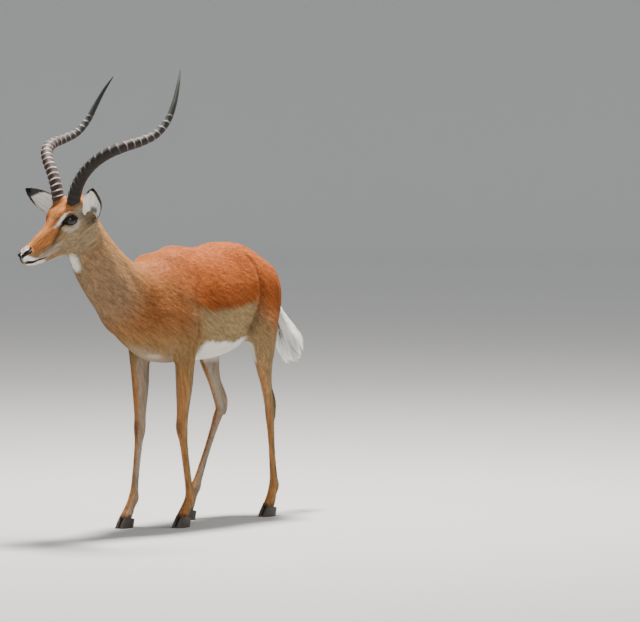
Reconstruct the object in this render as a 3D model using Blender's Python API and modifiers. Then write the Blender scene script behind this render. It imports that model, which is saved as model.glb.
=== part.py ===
"""An impala ram standing at rest, life size: named solids for a museum model.

The animal faces +X with its left side towards +Y, and its soles stand on Z = 0. The body is a
set of swept and rounded forms (rib cage, neck, skull, limbs) that melt into each other. Blender
remeshes the rough tubes and lumps into one closed hull, each vertex is eased on to the melted
surface, and the hull is parted into head, neck, trunk and legs. Horns, ears, eyes, hooves and
tail are solids of their own, each seated in a socket of the body with a hair's gap.
"""

import math

import bmesh
import bpy
import numpy as np
from mathutils import Matrix, Vector

# ---------------------------------------------------------------- driving sizes, metres

GAP = 0.0004  # clearance between the parts of the hull
SOCKET = 0.0009  # clearance of a socket round what is seated in it
HULL_VOXEL = 0.006  # grain of the rough hull
HULL_TRIANGLES = 4100  # faces kept on the whole of the flesh
LEFT, RIGHT = 1, -1

HEAD_AT = (0.508, -0.030, 1.036)  # top of the nape, between the ears
HEAD_TURN = math.radians(-13)  # the face is turned a little to the right
HEAD_NOD = math.radians(31)  # slope of the face below the horizon
HEAD_ROLL = math.radians(-3.5)

EYE_AT = (0.092, 0.0410, -0.008)  # in the head's frame, left side
EYE_RADIUS = 0.0195
HORN_SEAT = (0.0525, 0.037, 0.0308)
RINGED_SHARE = 0.76  # share of the horn that carries rings
HORN_RINGS = 20
HORN_SIZE = {LEFT: 1.115, RIGHT: 1.0}  # the left horn has grown a little longer

# ---------------------------------------------------------------- the head's frame


def turned(yaw, pitch, roll):
    """Rotation with x along the face, y to the animal's left and z out of the forehead."""
    spin = Matrix.Rotation(yaw, 3, "Z") @ Matrix.Rotation(pitch, 3, "Y")
    return np.array(spin @ Matrix.Rotation(roll, 3, "X"))


HEAD_SPIN = turned(HEAD_TURN, HEAD_NOD, HEAD_ROLL)


UPRIGHT = turned(HEAD_TURN, 0.0, HEAD_ROLL)  # the head's frame before it nods


def on_head(point):
    """A point of the head's frame, in the animal's frame."""
    return np.array(HEAD_AT) + HEAD_SPIN @ np.array(point, float)


def mirrored(point, side):
    return (point[0], point[1] * side, point[2])


# ---------------------------------------------------------------- swept and rounded forms


def eased(rows, steps):
    """Rows of numbers joined by a Catmull-Rom curve."""
    rows = np.array(rows, float)
    ends = np.vstack([2 * rows[0] - rows[1], rows, 2 * rows[-1] - rows[-2]])
    t = np.linspace(0, 1, steps, endpoint=False)[:, None]
    spans = []
    for a, b, c, d in zip(ends, ends[1:], ends[2:], ends[3:]):
        bend = (2 * a - 5 * b + 4 * c - d) * t**2 + (3 * b - a - 3 * c + d) * t**3
        spans.append(0.5 * (2 * b + (c - a) * t + bend))
    return np.vstack([*spans, rows[-1:]])


def unit(vectors):
    return vectors / np.maximum(np.linalg.norm(vectors, axis=-1, keepdims=True), 1e-12)


def rounded(offsets, reach):
    """Distance from a rounded form whose half axes are reach, near its surface."""
    k0 = np.linalg.norm(offsets / reach, axis=1)
    k1 = np.linalg.norm(offsets / reach**2, axis=1)
    return k0 * (k0 - 1) / np.maximum(k1, 1e-9)


class Sweep:
    """Flesh along a line: rows of (x, y, z, half width, reach over, reach under)."""

    def __init__(self, rows, melt, on_skull=False, steps=6):
        path = eased(rows, steps)
        self.melt = melt
        self.centre = path[:, :3]
        self.reach = np.maximum(path[:, 3:], 0.002)
        self.along = unit(np.gradient(self.centre, axis=0))
        side = np.array([0.0, 1.0, 0.0]) - self.along * self.along[:, 1:2]
        if on_skull:
            self.centre = np.array(HEAD_AT) + self.centre @ HEAD_SPIN.T
            self.along = self.along @ HEAD_SPIN.T
            side = side @ HEAD_SPIN.T
        self.side = unit(side)
        self.over = np.cross(self.along, self.side)
        self.stride = np.linalg.norm(np.diff(self.centre, axis=0), axis=1).mean()

    def box(self):
        far = self.reach.max()
        return self.centre.min(0) - far, self.centre.max(0) + far

    def distance(self, points):
        last = len(self.centre) - 1
        gaps = (self.centre**2).sum(1) - 2 * points @ self.centre.T
        near = gaps.argmin(1)
        step = ((points - self.centre[near]) * self.along[near]).sum(1) / self.stride
        u = np.clip(near + np.clip(step, -1, 1), 0, last)
        low = np.minimum(u.astype(int), last - 1)
        share = (u - low)[:, None]

        def at(values):
            return values[low] * (1 - share) + values[low + 1] * share

        offset = points - at(self.centre)
        over = (offset * at(self.over)).sum(1)
        reach = at(self.reach)
        tall = np.where(over > 0, reach[:, 1], reach[:, 2])
        local = np.stack([(offset * at(self.side)).sum(1), over, (offset * at(self.along)).sum(1)], 1)
        local[(u > 0) & (u < last), 2] = 0
        return rounded(local, np.stack([reach[:, 0], tall, reach[:, 0]], 1))

    def rough(self, bm, sides=16):
        """A closed tube of this form."""
        rings = []
        for centre, side, over, (wide, above, below) in zip(self.centre, self.side, self.over, self.reach):
            ring = []
            for turn in np.linspace(0, 2 * math.pi, sides, endpoint=False):
                tall = above if math.sin(turn) > 0 else below
                reach = side * wide * math.cos(turn) + over * tall * math.sin(turn)
                ring.append(bm.verts.new(centre + reach))
            rings.append(ring)
        for a, b in zip(rings, rings[1:]):
            for i in range(len(a)):
                j = (i + 1) % len(a)
                bm.faces.new((a[i], a[j], b[j], b[i]))
        bm.faces.new(rings[0][::-1])
        bm.faces.new(rings[-1])


class Lump:
    """A rounded mass with three half axes, tipped nose down by pitch and turned by yaw."""

    def __init__(self, centre, reach, melt, pitch=0.0, yaw=0.0, on_skull=False):
        self.melt = melt
        self.reach = np.array(reach, float)
        self.spin = turned(math.radians(yaw), math.radians(pitch), 0)
        self.centre = np.array(centre, float)
        if on_skull:
            self.centre = on_head(centre)
            self.spin = HEAD_SPIN @ self.spin

    def box(self):
        return self.centre - self.reach.max(), self.centre + self.reach.max()

    def distance(self, points):
        return rounded((points - self.centre) @ self.spin, self.reach)

    def rough(self, bm):
        place = Matrix.Translation(self.centre) @ Matrix(self.spin).to_4x4()
        shape = place @ Matrix.Diagonal((*self.reach, 1))
        bmesh.ops.create_uvsphere(bm, u_segments=16, v_segments=10, radius=1.0, matrix=shape)


FAR = 0.08  # a form has no say beyond this distance from its box


def melted(forms, points):
    """Distance from all the forms melted together."""
    total = np.full(len(points), 0.5)
    for form in forms:
        low, high = form.box()
        near = ((points > low - FAR) & (points < high + FAR)).all(1)
        if not near.any():
            continue
        new, old = form.distance(points[near]), total[near]
        h = np.clip(0.5 + 0.5 * (old - new) / form.melt, 0, 1)
        total[near] = old * (1 - h) + new * h - form.melt * h * (1 - h)
    return total


def settle(forms, points, rounds=4):
    """Moves points on to the melted surface, each along the steepest way."""
    step = 0.0008
    points = points.copy()
    for _ in range(rounds):
        here = melted(forms, points)
        slope = np.stack([(melted(forms, points + step * axis) - here) / step for axis in np.eye(3)], 1)
        steep = np.maximum((slope**2).sum(1), 0.2)
        points -= (np.clip(here, -0.02, 0.02) / steep)[:, None] * slope
    return points


# ---------------------------------------------------------------- the flesh, form by form


def midline(rows):
    """Rows of (x, z, half width, over, under) on the plane of symmetry."""
    return [(x, 0.0, z, wide, over, under) for x, z, wide, over, under in rows]


def trunk_forms():
    ribs = [
        (-0.353, 0.768, 0.036, 0.038, 0.055),
        (-0.308, 0.752, 0.072, 0.078, 0.100),
        (-0.230, 0.740, 0.100, 0.126, 0.135),
        (-0.136, 0.715, 0.114, 0.171, 0.176),
        (-0.031, 0.695, 0.128, 0.181, 0.178),
        (0.063, 0.680, 0.124, 0.192, 0.164),
        (0.146, 0.678, 0.110, 0.192, 0.162),
        (0.219, 0.685, 0.098, 0.164, 0.155),
        (0.292, 0.690, 0.084, 0.136, 0.118),
        (0.350, 0.695, 0.060, 0.085, 0.075),
    ]
    neck = [
        (0.219, 0.000, 0.690, 0.080, 0.125, 0.130),
        (0.308, 0.000, 0.732, 0.080, 0.100, 0.126),
        (0.371, -0.004, 0.777, 0.073, 0.085, 0.120),
        (0.431, -0.014, 0.836, 0.063, 0.077, 0.110),
        (0.473, -0.022, 0.892, 0.055, 0.072, 0.100),
        (0.504, -0.028, 0.945, 0.050, 0.064, 0.084),
        (0.522, -0.031, 0.990, 0.046, 0.050, 0.060),
    ]
    return [
        Sweep(midline(ribs), 0.02),
        Sweep(neck, 0.05),
        Lump((0.110, 0.0, 0.830), (0.085, 0.030, 0.045), 0.04),
        Lump((-0.157, 0.0, 0.830), (0.10, 0.07, 0.05), 0.04),
    ]


def head_forms():
    skull = [
        (0.006, -0.014, 0.036, 0.032, 0.040),
        (0.036, -0.012, 0.043, 0.042, 0.055),
        (0.075, -0.012, 0.046, 0.043, 0.060),
        (0.110, -0.018, 0.044, 0.039, 0.056),
        (0.150, -0.028, 0.035, 0.035, 0.042),
        (0.195, -0.035, 0.0265, 0.035, 0.031),
        (0.235, -0.038, 0.0225, 0.032, 0.026),
        (0.262, -0.039, 0.0210, 0.029, 0.023),
        (0.274, -0.040, 0.017, 0.022, 0.018),
    ]
    jaw = [
        (0.026, -0.062, 0.030, 0.030, 0.042),
        (0.066, -0.076, 0.033, 0.040, 0.044),
        (0.112, -0.078, 0.027, 0.036, 0.039),
        (0.160, -0.075, 0.0205, 0.026, 0.030),
        (0.205, -0.069, 0.0165, 0.020, 0.024),
        (0.238, -0.064, 0.0150, 0.014, 0.019),
        (0.256, -0.061, 0.012, 0.011, 0.013),
    ]
    forms = [Sweep(midline(skull), 0.03, on_skull=True), Sweep(midline(jaw), 0.018, on_skull=True)]
    for side in (LEFT, RIGHT):
        for centre, reach, melt, pitch, yaw in (
            ((0.093, 0.032, 0.002), (0.034, 0.017, 0.024), 0.016, 0, -8),  # rim of the eye socket
            ((0.078, 0.038, -0.032), (0.046, 0.011, 0.013), 0.018, 0, -5),  # cheek bone
            ((0.060, 0.025, -0.066), (0.042, 0.017, 0.038), 0.020, 0, 0),  # chewing muscle
            ((0.264, 0.0145, -0.026), (0.016, 0.0090, 0.013), 0.010, 15, -12),  # wing of the nose
            ((0.256, 0.0115, -0.050), (0.019, 0.0100, 0.0100), 0.010, 12, -8),  # upper lip
            ((0.052, 0.036, 0.020), (0.026, 0.023, 0.026), 0.016, 0, 0),  # seat of the horn
            ((0.018, 0.040, -0.036), (0.026, 0.022, 0.026), 0.018, 0, 0),  # root of the ear
        ):
            forms.append(
                Lump(mirrored(centre, side), reach, melt, pitch, yaw * side, on_skull=True)
            )
    return forms


def between(a, b, share):
    return tuple(np.array(a) * (1 - share) + np.array(b) * share)


def limb(joints, rows):
    """Rows of (bone number, share along it, half width, reach forward, reach back)."""
    return [
        (*between(joints[bone], joints[bone + 1], share), wide, front, back)
        for bone, share, wide, front, back in rows
    ]


# Joints as (x, z), with the distance of each from the plane of symmetry below.
FORE_JOINTS = {
    LEFT: ((0.136, 0.600), (0.147, 0.314), (0.102, 0.092), (0.132, 0.046), (0.145, 0.028)),
    RIGHT: ((0.171, 0.600), (0.189, 0.310), (0.226, 0.092), (0.255, 0.046), (0.268, 0.028)),
}
FORE_SPREAD = (0.080, 0.068, 0.064, 0.064, 0.064)
HIND_JOINTS = {
    LEFT: ((-0.211, 0.615), (-0.289, 0.342), (-0.319, 0.098), (-0.299, 0.048), (-0.286, 0.029)),
    RIGHT: ((-0.146, 0.600), (-0.215, 0.346), (-0.084, 0.106), (-0.052, 0.050), (-0.040, 0.029)),
}
HIND_SPREAD = (0.090, 0.072, 0.066, 0.066, 0.066)


def joints_of(table, spread, side):
    return [(x, side * out, z) for (x, z), out in zip(table[side], spread)]


def foreleg_forms(side):
    joints = joints_of(FORE_JOINTS, FORE_SPREAD, side)
    elbow = joints[0]
    leg = limb(
        joints,
        [
            (0, -0.16, 0.036, 0.048, 0.044),
            (0, 0.04, 0.034, 0.045, 0.032),
            (0, 0.36, 0.0290, 0.035, 0.031),
            (0, 0.56, 0.0260, 0.027, 0.030),
            (0, 0.84, 0.0195, 0.0200, 0.0215),
            (0, 0.97, 0.0200, 0.0205, 0.0190),
            (1, 0.06, 0.0190, 0.0190, 0.0185),
            (1, 0.22, 0.0140, 0.0140, 0.0155),
            (1, 0.55, 0.0122, 0.0125, 0.0140),
            (1, 0.86, 0.0130, 0.0130, 0.0150),
            (1, 1.00, 0.0175, 0.0165, 0.0190),
            (2, 0.45, 0.0160, 0.0145, 0.0155),
            (3, 0.00, 0.0185, 0.0155, 0.0170),
            (3, 1.05, 0.0190, 0.0190, 0.0170),
        ],
    )
    shoulder = (elbow[0] + 0.125, side * 0.066, 0.668)
    blade = [
        (elbow[0] + 0.005, side * 0.040, 0.825, 0.018, 0.045, 0.045),
        (elbow[0] + 0.045, side * 0.060, 0.760, 0.026, 0.055, 0.060),
        (elbow[0] + 0.095, side * 0.068, 0.700, 0.034, 0.045, 0.060),
        (*shoulder, 0.036, 0.036, 0.040),
    ]
    arm = [
        (*shoulder, 0.034, 0.036, 0.036),
        (elbow[0] + 0.06, side * 0.078, 0.635, 0.036, 0.042, 0.050),
        (elbow[0] + 0.005, side * 0.080, 0.600, 0.035, 0.034, 0.046),
    ]
    return [
        Sweep(blade, 0.045),
        Sweep(arm, 0.040),
        Lump((elbow[0] + 0.010, side * 0.076, 0.672), (0.060, 0.038, 0.085), 0.035, pitch=-14),
        Sweep(leg, 0.030),
        Lump((elbow[0] - 0.040, side * 0.076, 0.602), (0.016, 0.018, 0.030), 0.018),
    ]


def hindleg_forms(side):
    joints = joints_of(HIND_JOINTS, HIND_SPREAD, side)
    stifle, hock = joints[0], joints[1]
    leg = limb(
        joints,
        [
            (0, -0.05, 0.044, 0.030, 0.095),
            (0, 0.16, 0.038, 0.034, 0.075),
            (0, 0.42, 0.0265, 0.032, 0.042),
            (0, 0.68, 0.0165, 0.022, 0.022),
            (0, 0.90, 0.0145, 0.0170, 0.0165),
            (1, 0.00, 0.0150, 0.0175, 0.0175),
            (1, 0.12, 0.0145, 0.0155, 0.0170),
            (1, 0.30, 0.0120, 0.0125, 0.0145),
            (1, 0.55, 0.0112, 0.0118, 0.0130),
            (1, 0.88, 0.0130, 0.0135, 0.0155),
            (1, 1.00, 0.0175, 0.0170, 0.0190),
            (2, 0.45, 0.0160, 0.0150, 0.0160),
            (3, 0.00, 0.0185, 0.0155, 0.0170),
            (3, 1.05, 0.0190, 0.0190, 0.0170),
        ],
    )
    shift = stifle[0] - HIND_JOINTS[LEFT][0][0]
    heel = (hock[0] - 0.019 - 0.08 * shift, hock[1], hock[2] + 0.028)
    tendon = [
        (hock[0] + 0.030, side * 0.080, hock[2] + 0.160, 0.009, 0.010, 0.010),
        (hock[0] + 0.008 - 0.1 * shift, side * 0.076, hock[2] + 0.090, 0.007, 0.008, 0.008),
        (*heel, 0.0100, 0.011, 0.010),
        (hock[0] - 0.018, hock[1], hock[2] - 0.018, 0.0110, 0.011, 0.009),
    ]
    return [
        Lump((-0.221 + 0.5 * shift, side * 0.060, 0.726), (0.100, 0.052, 0.104), 0.045, pitch=12),
        Lump((-0.288 + 0.2 * shift, side * 0.060, 0.690), (0.046, 0.044, 0.105), 0.04, pitch=4),
        Lump((-0.205 + 0.8 * shift, side * 0.074, 0.658), (0.040, 0.034, 0.078), 0.04, pitch=-18),
        Sweep(leg, 0.025),
        Sweep(tendon, 0.010),
    ]


def flesh_forms():
    forms = trunk_forms() + head_forms()
    for side in (LEFT, RIGHT):
        forms += foreleg_forms(side) + hindleg_forms(side)
    return forms


# ---------------------------------------------------------------- Blender helpers

MATERIALS = {
    "coat": ((0.56, 0.26, 0.10), 0.75),
    "tail_hair": ((0.86, 0.84, 0.80), 0.80),
    "horn": ((0.10, 0.075, 0.06), 0.45),
    "eye": ((0.015, 0.010, 0.008), 0.08),
    "hoof": ((0.045, 0.038, 0.033), 0.40),
}


def material(name):
    made = bpy.data.materials.get(name)
    if made is None:
        made = bpy.data.materials.new(name)
        made.use_nodes = True
        colour, roughness = MATERIALS[name]
        shader = made.node_tree.nodes["Principled BSDF"]
        shader.inputs["Base Color"].default_value = (*colour, 1)
        shader.inputs["Roughness"].default_value = roughness
        shader.inputs["Metallic"].default_value = 0.0
        made.diffuse_color = (*colour, 1)
    return made


def collection(name):
    made = bpy.data.collections.new(name)
    bpy.context.scene.collection.children.link(made)
    return made


def as_object(name, bm, group, finish):
    """A named object from a bmesh, which is freed."""
    mesh = bpy.data.meshes.new(name)
    bm.to_mesh(mesh)
    bm.free()
    made = bpy.data.objects.new(name, mesh)
    mesh.materials.append(material(finish))
    group.objects.link(made)
    return made


def baked(obj):
    """Applies an object's modifiers to its mesh."""
    graph = bpy.context.evaluated_depsgraph_get()
    mesh = bpy.data.meshes.new_from_object(obj.evaluated_get(graph))
    obj.modifiers.clear()
    obj.data = mesh
    return obj


def smooth(obj, angle=40):
    obj.data.shade_smooth()
    obj.data.set_sharp_from_angle(angle=math.radians(angle))


def boolean(obj, cutter, operation):
    cut = obj.modifiers.new(operation.lower(), "BOOLEAN")
    cut.operation = operation
    cut.object = cutter
    cut.solver = "EXACT"
    return baked(obj)


def swollen(obj, by, cutters):
    """A cutter that is obj, grown by a hair."""
    made = bpy.data.objects.new(obj.name + "_socket", obj.data.copy())
    made.matrix_world = obj.matrix_world
    cutters.objects.link(made)
    grow = made.modifiers.new("grow", "DISPLACE")
    grow.mid_level = 0.0
    grow.strength = by
    made.hide_render = True
    made.display_type = "WIRE"
    return baked(made)


def loft(bm, rings):
    """Skins a list of rings of points, with a flat face at each end."""
    made = [[bm.verts.new(point) for point in ring] for ring in rings]
    for a, b in zip(made, made[1:]):
        for i in range(len(a)):
            j = (i + 1) % len(a)
            bm.faces.new((a[i], a[j], b[j], b[i]))
    bm.faces.new(made[0][::-1])
    bm.faces.new(made[-1])
    bmesh.ops.recalc_face_normals(bm, faces=bm.faces)


# ---------------------------------------------------------------- the flesh as one hull


def hull_of(forms, group):
    """One closed body of all the forms, eased on to the melted surface and thinned out."""
    bm = bmesh.new()
    for form in forms:
        form.rough(bm)
    hull = as_object("flesh", bm, group, "coat")
    voxels = hull.modifiers.new("voxels", "REMESH")
    voxels.mode = "VOXEL"
    voxels.voxel_size = HULL_VOXEL
    baked(hull)
    points = np.empty(len(hull.data.vertices) * 3)
    hull.data.vertices.foreach_get("co", points)
    points = settle(forms, points.reshape(-1, 3))
    hull.data.vertices.foreach_set("co", points.ravel())
    hull.data.update()
    thin = hull.modifiers.new("thin", "DECIMATE")
    faces = sum(len(face.vertices) - 2 for face in hull.data.polygons)
    thin.ratio = HULL_TRIANGLES / faces
    thin.use_collapse_triangulate = True
    return baked(hull)


def hidden(name, bm, cutters):
    made = as_object(name, bm, cutters, "coat")
    made.hide_render = True
    made.display_type = "WIRE"
    return made


def grown(outline, by):
    """An outline in (x, z), run clockwise, with every edge moved out by a little."""
    points = np.array(outline, float)
    ahead = unit(np.roll(points, -1, axis=0) - points)
    outward_way = np.stack([-ahead[:, 1], ahead[:, 0]], 1)
    before = np.roll(outward_way, 1, axis=0)
    return points + by * (outward_way + before) / (1 + (outward_way * before).sum(1, keepdims=True))


def prism(name, outline, near, far, by, cutters):
    """A region with an outline in (x, z) that reaches across the body from near to far."""
    near, far = sorted((near, far))
    bm = bmesh.new()
    rings = [[bm.verts.new((x, y, z)) for x, z in grown(outline, by)] for y in (near - by, far + by)]
    count = len(outline)
    for i in range(count):
        j = (i + 1) % count
        bm.faces.new((rings[0][i], rings[0][j], rings[1][j], rings[1][i]))
    bm.faces.new(rings[0][::-1])
    bm.faces.new(rings[1])
    bmesh.ops.recalc_face_normals(bm, faces=bm.faces)
    return hidden(name, bm, cutters)


def part_off(body, name, outline, near, far, group, cutters):
    """Takes what lies in a region out of the body as a solid of its own."""
    piece = bpy.data.objects.new(name, body.data.copy())
    group.objects.link(piece)
    boolean(piece, prism(name + "_region", outline, near, far, 0.0, cutters), "INTERSECT")
    boolean(body, prism(name + "_rest", outline, near, far, GAP, cutters), "DIFFERENCE")
    return piece


AROUND = 0.4  # half width of a region that takes in the whole body
LEG_INSIDE = 0.030  # the legs leave the trunk outside this half width


def part_flesh(body, group, cutters):
    """Head, neck and legs out of the hull; what is left is the trunk."""
    head_outline = [
        (0.505, 0.882),
        (0.458, 0.925),
        (0.480, 1.120),
        (0.900, 1.120),
        (0.900, 0.780),
        (0.620, 0.835),
    ]
    neck_outline = [(0.245, 0.90), (0.32, 1.12), (0.65, 1.12), (0.65, 0.66), (0.424, 0.66)]
    pieces = {
        "head": part_off(body, "head", head_outline, -AROUND, AROUND, group, cutters),
        "neck": part_off(body, "neck", neck_outline, -AROUND, AROUND, group, cutters),
    }
    for side, word in ((LEFT, "left"), (RIGHT, "right")):
        x = FORE_JOINTS[side][0][0]
        foreleg = [
            (x - 0.16, 0.49),
            (x - 0.080, 0.585),
            (x - 0.020, 0.630),
            (x + 0.055, 0.600),
            (x + 0.100, 0.560),
            (x + 0.20, 0.48),
            (x + 0.20, -0.1),
            (x - 0.16, -0.1),
        ]
        x = HIND_JOINTS[side][0][0]
        hindleg = [
            (x - 0.40, 0.90),
            (-0.360, 0.772),
            (x + 0.035, 0.630),
            (x + 0.052, 0.505),
            (x + 0.30, 0.44),
            (x + 0.30, -0.1),
            (x - 0.40, -0.1),
        ]
        for name, outline in (("foreleg_" + word, foreleg), ("hindleg_" + word, hindleg)):
            across = (side * LEG_INSIDE, side * AROUND)
            pieces[name] = part_off(body, name, outline, *across, group, cutters)
    body.name = "trunk"
    pieces["trunk"] = body
    return pieces


# ---------------------------------------------------------------- horns, ears, eyes, hooves, tail

# The horn's way from its seat, in the head's upright frame: back, out and up.
HORN_LINE = (
    (0.008, -0.003, -0.009),
    (0.000, 0.000, 0.000),
    (-0.001, 0.016, 0.044),
    (0.002, 0.043, 0.083),
    (0.010, 0.078, 0.116),
    (0.030, 0.111, 0.143),
    (0.066, 0.133, 0.162),
    (0.116, 0.142, 0.176),
    (0.165, 0.144, 0.195),
    (0.204, 0.144, 0.231),
    (0.230, 0.138, 0.280),
    (0.251, 0.125, 0.328),
    (0.271, 0.107, 0.371),
)
# Share of the length and radius there.
HORN_RADII = (
    (0.00, 0.0195),
    (0.09, 0.0178),
    (0.22, 0.0166),
    (0.40, 0.0162),
    (0.52, 0.0143),
    (0.64, 0.0118),
    (0.74, 0.0094),
    (0.84, 0.0068),
    (0.93, 0.0043),
    (1.00, 0.0011),
)


def horn_line(side, steps):
    """Points along the horn and the share of its length at each."""
    size = HORN_SIZE[side]
    rows = [(-back * size, side * out * size, up * size) for back, out, up in HORN_LINE]
    seat = on_head(mirrored(HORN_SEAT, side))
    line = seat + eased(rows, 24) @ UPRIGHT.T
    run = np.concatenate([[0], np.cumsum(np.linalg.norm(np.diff(line, axis=0), axis=1))])
    share = np.asarray(steps)
    return np.stack([np.interp(share * run[-1], run, line[:, axis]) for axis in range(3)], 1)


def horn_shares():
    """Where the rings of the loft lie: two for each horn ring, then a few on the smooth tip."""
    ringed = RINGED_SHARE * np.linspace(0, 1, 2 * HORN_RINGS + 1) ** 1.12
    return np.concatenate([ringed, np.linspace(RINGED_SHARE, 1, 5)[1:]])


def horn(side, word, group):
    share = horn_shares()
    line = horn_line(side, share)
    along = unit(np.gradient(line, axis=0))
    width = HORN_SIZE[side] * np.interp(share, *zip(*HORN_RADII))
    crest = np.where(np.arange(len(share)) % 2 == 1, 1.0, -1.0)
    crest[share > RINGED_SHARE - 0.01] = 0
    width = width * (1 + 0.050 * crest)
    bm = bmesh.new()
    rings = []
    sides = 8
    start = unit(np.cross(along[0], (0.0, 1.0, 0.0)))
    for centre, ahead, radius in zip(line, along, width):
        start = unit(start - ahead * (start @ ahead))
        other = np.cross(ahead, start)
        deep, wide = start * radius * 1.08, other * radius
        turns = np.linspace(0, 2 * math.pi, sides, endpoint=False)
        rings.append([centre + deep * math.cos(t) + wide * math.sin(t) for t in turns])
    loft(bm, rings)
    made = as_object("horn_" + word, bm, group, "horn")
    smooth(made, 60)
    return made


EAR_LENGTH = 0.150
EAR_WIDTH = 0.0325  # half the width at the widest
EAR_SKIN = 0.0028
# Root in the head's frame, then the way to the tip and the way that the cup faces in the head's
# upright frame, as forward, left and up.
EARS = {
    LEFT: ((0.028, 0.052, -0.045), (0.41, 0.59, 0.69), (0.72, 0.26, -0.65)),
    RIGHT: ((0.036, -0.060, -0.040), (0.66, -0.55, 0.52), (0.55, 0.82, 0.16)),
}
EAR_ROOT = -0.06  # share of the ear's length that is sunk in the head


def ear_frame(side):
    root, tip, face = EARS[side]
    ahead = unit(UPRIGHT @ np.array(tip))
    face = UPRIGHT @ np.array(face)
    face = unit(face - ahead * (face @ ahead))
    return on_head(root), ahead, face, np.cross(face, ahead)


def ear_surface(side, rows, columns):
    """Grid of points over the ear: a rolled cup at the root that opens into a pointed leaf."""
    root, ahead, face, across = ear_frame(side)
    grid = []
    for s in np.linspace(EAR_ROOT, 1.0, rows):
        out = max(s, 0.0)
        leaf = min(1.0, (0.30 + s * 3.0) ** 0.5) * (1 - out**2.6) ** 0.75
        half = EAR_WIDTH * max(leaf, 0.07)
        roll = math.radians(120 - 72 * min(out / 0.6, 1) ** 0.8)
        bend = half * 1.25 / roll
        lean = 0.012 * math.sin(math.pi * out) - 0.004
        line = []
        for u in np.linspace(-1, 1, columns):
            depth = bend * (math.cos(u * roll) - 0.5 * (1 + math.cos(roll))) + lean
            spot = root + ahead * EAR_LENGTH * s + across * bend * math.sin(u * roll)
            line.append(spot - face * depth)
        grid.append(line)
    return grid


def ear(side, word, group):
    bm = bmesh.new()
    grid = [[bm.verts.new(point) for point in line] for line in ear_surface(side, 10, 7)]
    for a, b in zip(grid, grid[1:]):
        for i in range(len(a) - 1):
            bm.faces.new((a[i], a[i + 1], b[i + 1], b[i]))
    made = as_object("ear_" + word, bm, group, "coat")
    skin = made.modifiers.new("skin", "SOLIDIFY")
    skin.thickness = EAR_SKIN
    skin.offset = 0.0
    baked(made)
    outward(made)
    smooth(made, 50)
    return made


def outward(obj):
    bm = bmesh.new()
    bm.from_mesh(obj.data)
    bmesh.ops.recalc_face_normals(bm, faces=bm.faces)
    bm.to_mesh(obj.data)
    bm.free()


def eye(side, word, group):
    bm = bmesh.new()
    spin = Matrix(HEAD_SPIN).to_4x4() @ Matrix.Rotation(math.radians(90), 4, "X")
    place = Matrix.Translation(on_head(mirrored(EYE_AT, side))) @ spin
    bmesh.ops.create_uvsphere(bm, u_segments=12, v_segments=7, radius=EYE_RADIUS, matrix=place)
    made = as_object("eye_" + word, bm, group, "eye")
    made.data.shade_smooth()
    return made


HOOF_LENGTH = 0.058
CLAW_WIDTH = 0.0225  # across one claw at its widest
HOOF_HEIGHT = 0.036  # at the toe; the heel is lower
HEEL_SHARE = 0.72
TOE_SPLIT = 0.0008  # from the middle of the foot to each claw
# Share of the height, size there and how far it has slid back.
CLAW_RINGS = ((0.0, 1.0, 0.0), (0.5, 0.90, -0.006), (1.0, 0.74, -0.014))


def claw(name, coronet, side, group):
    """One claw: flat sole, straight inner wall, rounded outer wall and a sloping toe."""
    x, y = coronet
    rings = []
    for height, size, slide in CLAW_RINGS:
        ring = []
        for t in np.linspace(0, 2 * math.pi, 10, endpoint=False):
            along = 0.5 - 0.5 * math.cos(t)
            bulge = 1.98 * along**0.42 * (1 - along) ** 0.58
            wide = CLAW_WIDTH * (0.47 + (0.5 * bulge if math.sin(t) > 0 else -0.42) * size)
            ring.append(
                (
                    x + (along - 0.42) * HOOF_LENGTH * size + slide,
                    y + side * (TOE_SPLIT + wide),
                    HOOF_HEIGHT * height * (HEEL_SHARE + (1 - HEEL_SHARE) * along),
                )
            )
        rings.append(ring)
    bm = bmesh.new()
    loft(bm, rings)
    made = as_object(name, bm, group, "hoof")
    smooth(made, 50)
    return made


def tail_rows():
    """The tail's way down and back: rows of x, y, z, half width and reach over and under."""
    return [
        (-0.324, 0.0, 0.788, 0.018, 0.014, 0.016),
        (-0.356, 0.0, 0.762, 0.020, 0.015, 0.016),
        (-0.382, 0.0, 0.712, 0.021, 0.016, 0.018),
        (-0.411, 0.0, 0.650, 0.024, 0.024, 0.022),
        (-0.447, 0.0, 0.598, 0.028, 0.044, 0.036),
        (-0.484, 0.0, 0.554, 0.026, 0.056, 0.046),
        (-0.518, 0.0, 0.520, 0.018, 0.048, 0.040),
        (-0.541, 0.0, 0.498, 0.006, 0.024, 0.022),
    ]


def tail(group):
    """Dock and brush as one flattened, bent cone with its broad hair below."""
    bm = bmesh.new()
    Sweep(tail_rows(), 0.01, steps=1).rough(bm, 12)
    bmesh.ops.recalc_face_normals(bm, faces=bm.faces)
    made = as_object("tail", bm, group, "tail_hair")
    smooth(made, 50)
    return made


# ---------------------------------------------------------------- putting it together


def seat(host, guests, cutters):
    """Cuts a socket in the host for each guest, a hair wider than the guest."""
    for guest in guests:
        boolean(host, swollen(guest, SOCKET, cutters), "DIFFERENCE")


def tidy(obj):
    """Welds slivers that the cuts leave and shades the result."""
    bm = bmesh.new()
    bm.from_mesh(obj.data)
    bmesh.ops.remove_doubles(bm, verts=bm.verts, dist=0.00002)
    bmesh.ops.triangulate(bm, faces=bm.faces)
    bm.to_mesh(obj.data)
    bm.free()
    smooth(obj, 55)


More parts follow.
